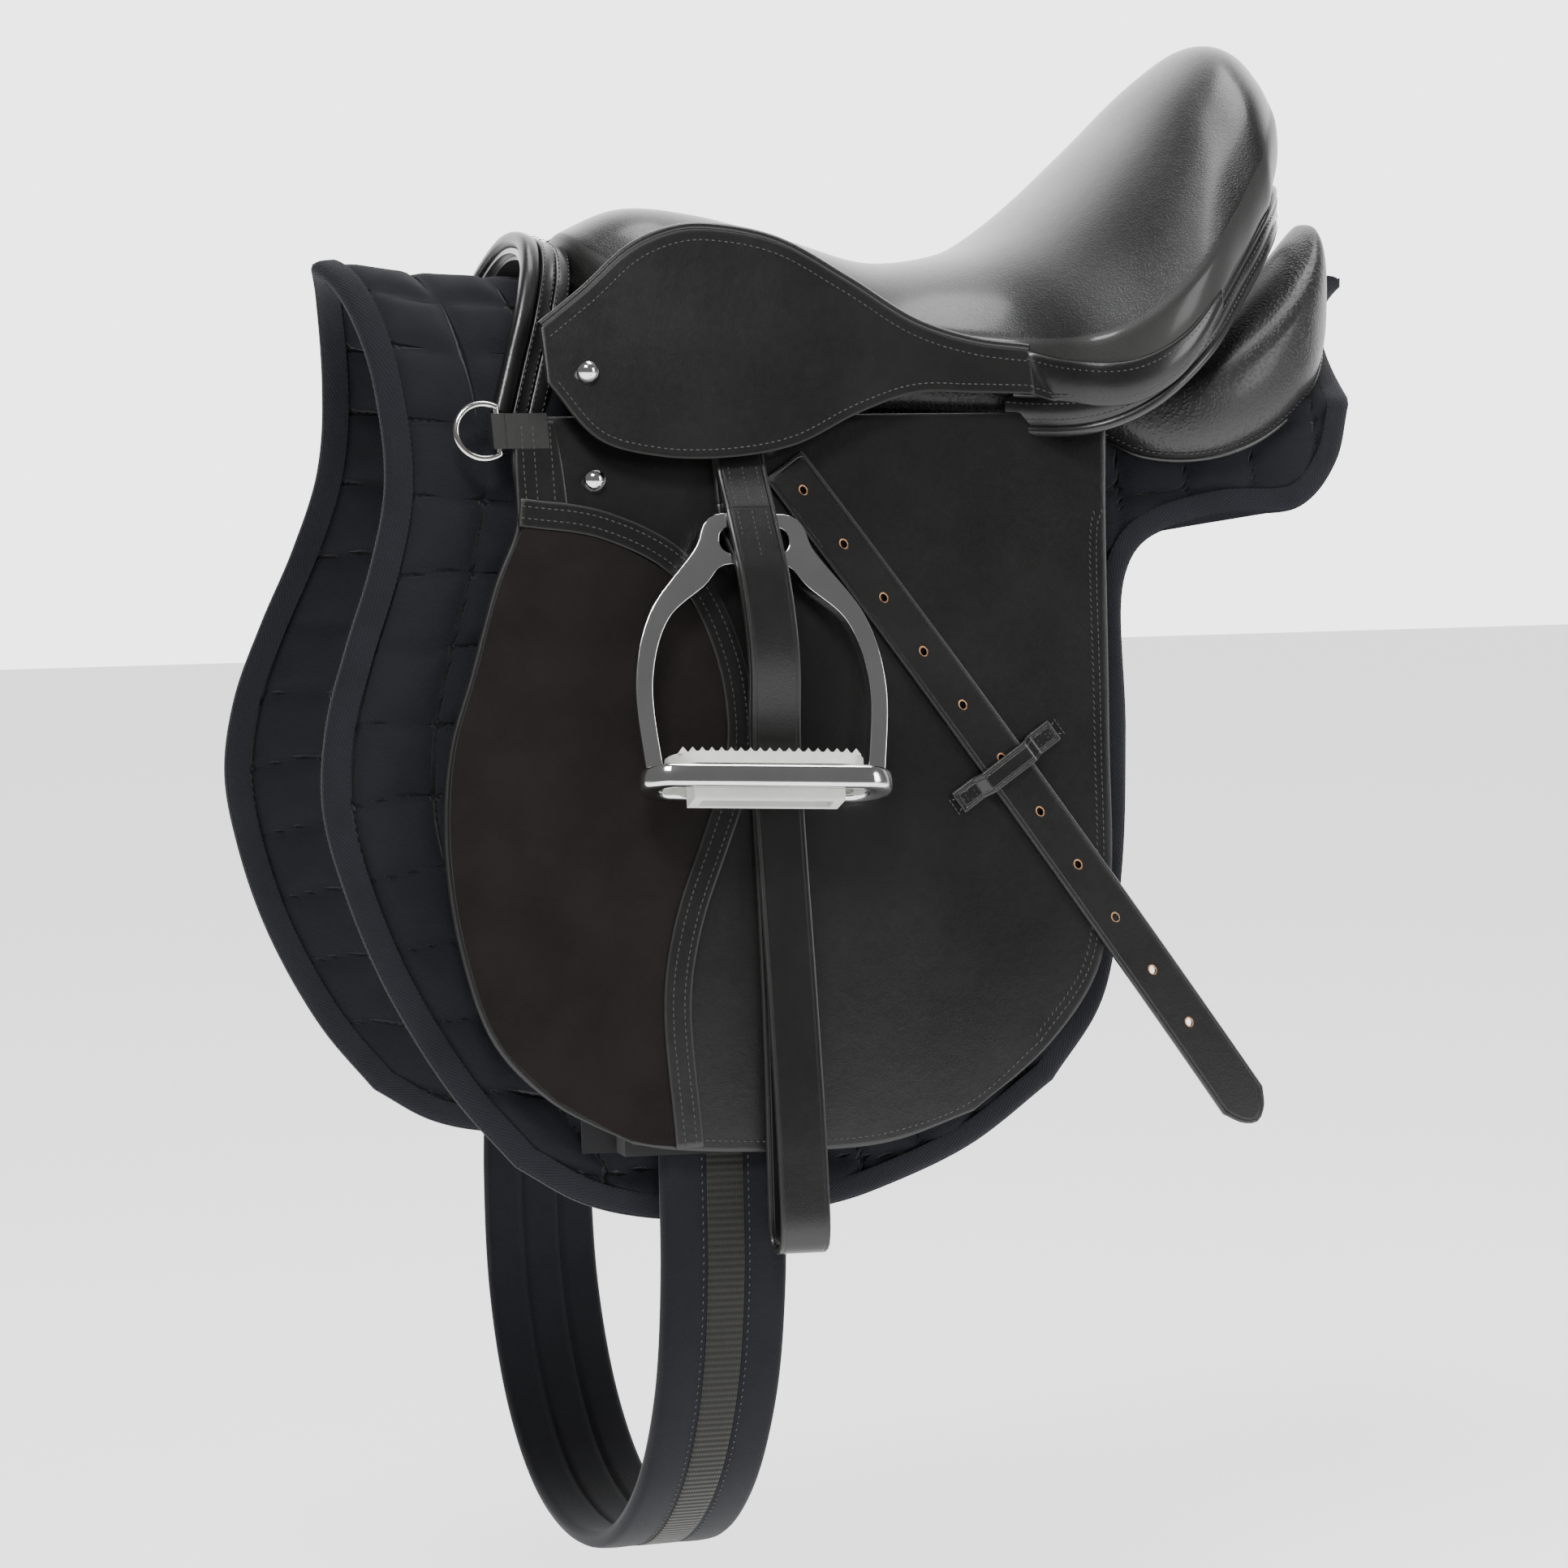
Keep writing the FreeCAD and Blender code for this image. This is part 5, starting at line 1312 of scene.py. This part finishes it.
baseRing, spots = newGrid("ironBase", 16, 96)
outerRing, innerRing = stadium(ironShape["wide"] + 2, ironShape["deep"],
                               96), stadium(ironShape["wide"] - 22, 20, 96)
points = []
for u, v in spots:
    k = int(round(v * 96)) % 96
    angle = 2 * math.pi * u
    c, s = math.cos(angle), math.sin(angle)
    share = 0.5 + 0.5 * math.copysign(abs(c) ** 0.55, c)
    (x0, y0), (x1, y1) = outerRing[k], innerRing[k]
    z = -tall + ironShape["base"] / 2 + ironShape["base"] / 2 * math.copysign(abs(s) ** 0.55, s)
    points.append(Vector((x1 + (x0 - x1) * share, y1 + (y0 - y1) * share, z)) * mm)
setPoints(baseRing, points)
faceOut(baseRing)
iron = joinPieces("stirrupIron", [arch, baseRing])
iron.data.transform(Matrix.Translation(ironAt) @ ironHang)
note(iron, "edge", [0.01] * len(iron.data.vertices))
smooth(iron, 50)
wear(iron, "polished_steel")
both(iron, "stirrupIron", body="stirrup", stands=("stirrup_iron",))
print("stirrup irons made")

# girth
girthShape = {"middle": -92, "wide": 66, "thick": 10.2, "in": 3.8, "bottom": -612, "top": -335, "strip": 19}


def girthLine(off):
    outside = girthShape["in"] + girthShape["thick"]
    bottom = girthShape["bottom"] + outside - off
    x = girthShape["middle"]
    low = -(halfWidth(-440) + side["flare"] * x + off)
    line = [(-(halfWidth(z) + side["flare"] * x + off), z) for z in (girthShape["top"], -390, -440)]
    for turn in (22.5, 45, 67.5):
        a = math.radians(turn)
        line.append((low * math.cos(a) ** 0.9, -440 - (-440 - bottom) * math.sin(a) ** 1.05))
    return smoothLine(line + [(0, bottom)] + [(-y, z) for y, z in reversed(line)], 220)


girthOuter, girthInner = girthLine(girthShape["in"] + girthShape["thick"]), girthLine(girthShape["in"])
girthRun = np.concatenate([[0], np.cumsum(np.linalg.norm(np.diff(girthOuter, axis=0), axis=1))])


def girthFace(outer):
    def place(u, v):
        i = int(round(v * 220))
        across = (u - 0.5) * girthShape["wide"]
        x = girthShape["middle"] + across
        a, b = Vector((0, *girthOuter[i])), Vector((0, *girthInner[i]))
        thick = b - a
        away = abs(across)
        pillow = math.sin(math.pi * clamp((away - girthShape["strip"] / 2) / (girthShape["wide"] / 2
                - girthShape["strip"] / 2)))
        edge = clamp((girthShape["wide"] / 2 - away) / 4)
        if outer:
            deep = 0.13 - 0.13 * max(pillow, 0) ** 0.5 + 0.33 * (1 - math.sqrt(1 - (1 - edge) ** 2))
        else:
            seam = math.exp(-((away - 11) / 1.6) ** 2) * 0.14
            deep = 1 - seam - 0.33 * (1 - math.sqrt(1 - (1 - edge) ** 2))
        point = a + thick * deep
        sign = 1 if point.y > 0 else -1
        lean = side["flare"] * across * sign * clamp((point.z + 600) / 160)
        return Vector((x, point.y + lean, point.z)) * mm
    return place


girth = slab("girthSleeve", 44, 220, girthFace(True), girthFace(False),
             lambda u, v: ((u - 0.5) * 66, girthRun[int(round(v * 220))]), longSides(-33, 33), 0)
closeUp(girth, 60)
wear(girth, "girth_padding")
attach(girth, "girth")
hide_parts("girth_sleeve")


def webbingFace(lift):
    def place(u, v):
        base = girthFace(True)(0.5 + (u - 0.5) * girthShape["strip"] / girthShape["wide"], v)
        i = int(round(v * 220))
        outward = (Vector((0, *girthOuter[i])) - Vector((0, *girthInner[i]))).normalized()
        return base + outward * lift * mm
    return place


webbing = slab("girthStrip", 8, 220, webbingFace(1.25), webbingFace(-0.3),
               lambda u, v: (u * 19, girthRun[int(round(v * 220))]), None, 0.4)
closeUp(webbing, 50)
wear(webbing, "girth_webbing")
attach(webbing, "girth")
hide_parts("girth_webbing")
girthRows = []
for across in (-12.2, 12.2):
    line = [girthFace(True)(0.5 + across / 66, i / 220) for i in range(221)]
    outward = [Vector((0, *girthOuter[i])) - Vector((0, *girthInner[i])) for i in range(221)]
    girthRows.append(stitchRow([p + o.normalized() * 0.0002 for p, o in zip(line, outward)], outward,
                               pitch=4.2))
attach(sew("girthStitches", girthRows), "girth")
print("girth made")

# the sweat flap and the billets under the flap
sweatPatch = Patch([(-170, -290), (-100, -336), (0, -336), (70, -290)],
                   [(70, -290), (95, -200), (104, -20)],
                   [(-150, -20), (0, -20), (104, -20)],
                   [(-170, -290), (-190, -210), (-178, -120), (-150, -20)])
sweat = sideSheet("sweatFlap", sweatPatch, 3.0, 2.5, 40, 40, 0.8)
wear(sweat, "smooth_leather")
both(sweat, "sweatFlap", body="saddle", stands=("sweat_flap",))
billetPieces = []
for middle in (-109.5, -74.5):
    shape = Patch([(middle - 13, -300), (middle, -314), (middle + 13, -300)],
                  [(middle + 13, -300), (middle + 13, -22)],
                  [(middle - 13, -22), (middle + 13, -22)], [(middle - 13, -300), (middle - 13, -22)])
    billetPieces.append(sideSheet("billet", shape, 6.8, 3.3, 8, 60, 0.8))
billets = joinPieces("billets", billetPieces)
wear(billets, "strap_leather")
both(billets, "billetStraps", body="saddle", stands=("billets",))

# CAD parts that show as they are
for node, item in frame["nodes"].items():
    if item.hide_render:
        continue
    slotName = next(s["material_slot"] for s in frame["record"]["subparts"] if s["node"] == node)
    item.data.materials.clear()
    item.data.materials.append(finish[slotName])

# light, floor and camera
deselect()
bpy.ops.mesh.primitive_plane_add(size=14, location=(0, 0, -0.72))
floor = bpy.context.object
floor.name = "floor"
floorLook = Look("floorPaper", Roughness=0.9, Emission_Color=(1, 1, 1, 1), Emission_Strength=1.1)
floorLook.feed("Base Color", floorLook.mix(floorLook.noise(3.0), (0.86, 0.86, 0.86, 1), (0.9, 0.9, 0.9, 1)))
floor.data.materials.append(floorLook.material)

world = bpy.data.worlds.new("studio")
bpy.context.scene.world = world
world.use_nodes = True
sky = world.node_tree.nodes["Background"]
sky.inputs["Color"].default_value = (1, 1, 1, 1)
way = world.node_tree.nodes.new("ShaderNodeTexCoord")
facing = world.node_tree.nodes.new("ShaderNodeVectorMath")
facing.operation = "DOT_PRODUCT"
facing.inputs[1].default_value = (0.34, 0.94, 0)
spread = world.node_tree.nodes.new("ShaderNodeMapRange")
spread.interpolation_type = "SMOOTHSTEP"
for i, value in enumerate((0.3, 0.85, 0.16, 3.6), 1):
    spread.inputs[i].default_value = value
world.node_tree.links.new(way.outputs["Generated"], facing.inputs[0])
world.node_tree.links.new(facing.outputs["Value"], spread.inputs[0])
world.node_tree.links.new(spread.outputs[0], sky.inputs["Strength"])

lights = {
    "keyLight": {"at": (-1.2, -1.7, 2.5), "size": (1.1, 0.8), "power": 105},
    "fillLight": {"at": (2.1, -2.0, 0.8), "size": (0.9, 1.5), "power": 38},
    "topLight": {"at": (0.5, 0.2, 2.4), "size": (1.6, 1.0), "power": 45},
}
for name, facts in lights.items():
    lamp = bpy.data.lights.new(name, "AREA")
    lamp.shape = "RECTANGLE"
    lamp.size, lamp.size_y = facts["size"]
    lamp.energy = facts["power"]
    holder = bpy.data.objects.new(name, lamp)
    bpy.context.scene.collection.objects.link(holder)
    holder.location = facts["at"]
    holder.rotation_euler = (Vector((0, 0, -0.15)) - Vector(facts["at"])).to_track_quat("-Z",
            "Y").to_euler()

target, distance = Vector((0, 0, -0.2)), 3.0
azimuth, elevation = math.radians(-20), math.radians(6)
back = Vector((math.sin(azimuth) * math.cos(elevation), -math.cos(azimuth) * math.cos(elevation),
               math.sin(elevation)))
camera = bpy.data.objects.new("camera", bpy.data.cameras.new("camera"))
bpy.context.scene.collection.objects.link(camera)
camera.location = target + back * distance
camera.rotation_euler = (-back).to_track_quat("-Z", "Y").to_euler()
camera.data.lens = 125.8
camera.data.sensor_width = 36
bpy.context.scene.camera = camera
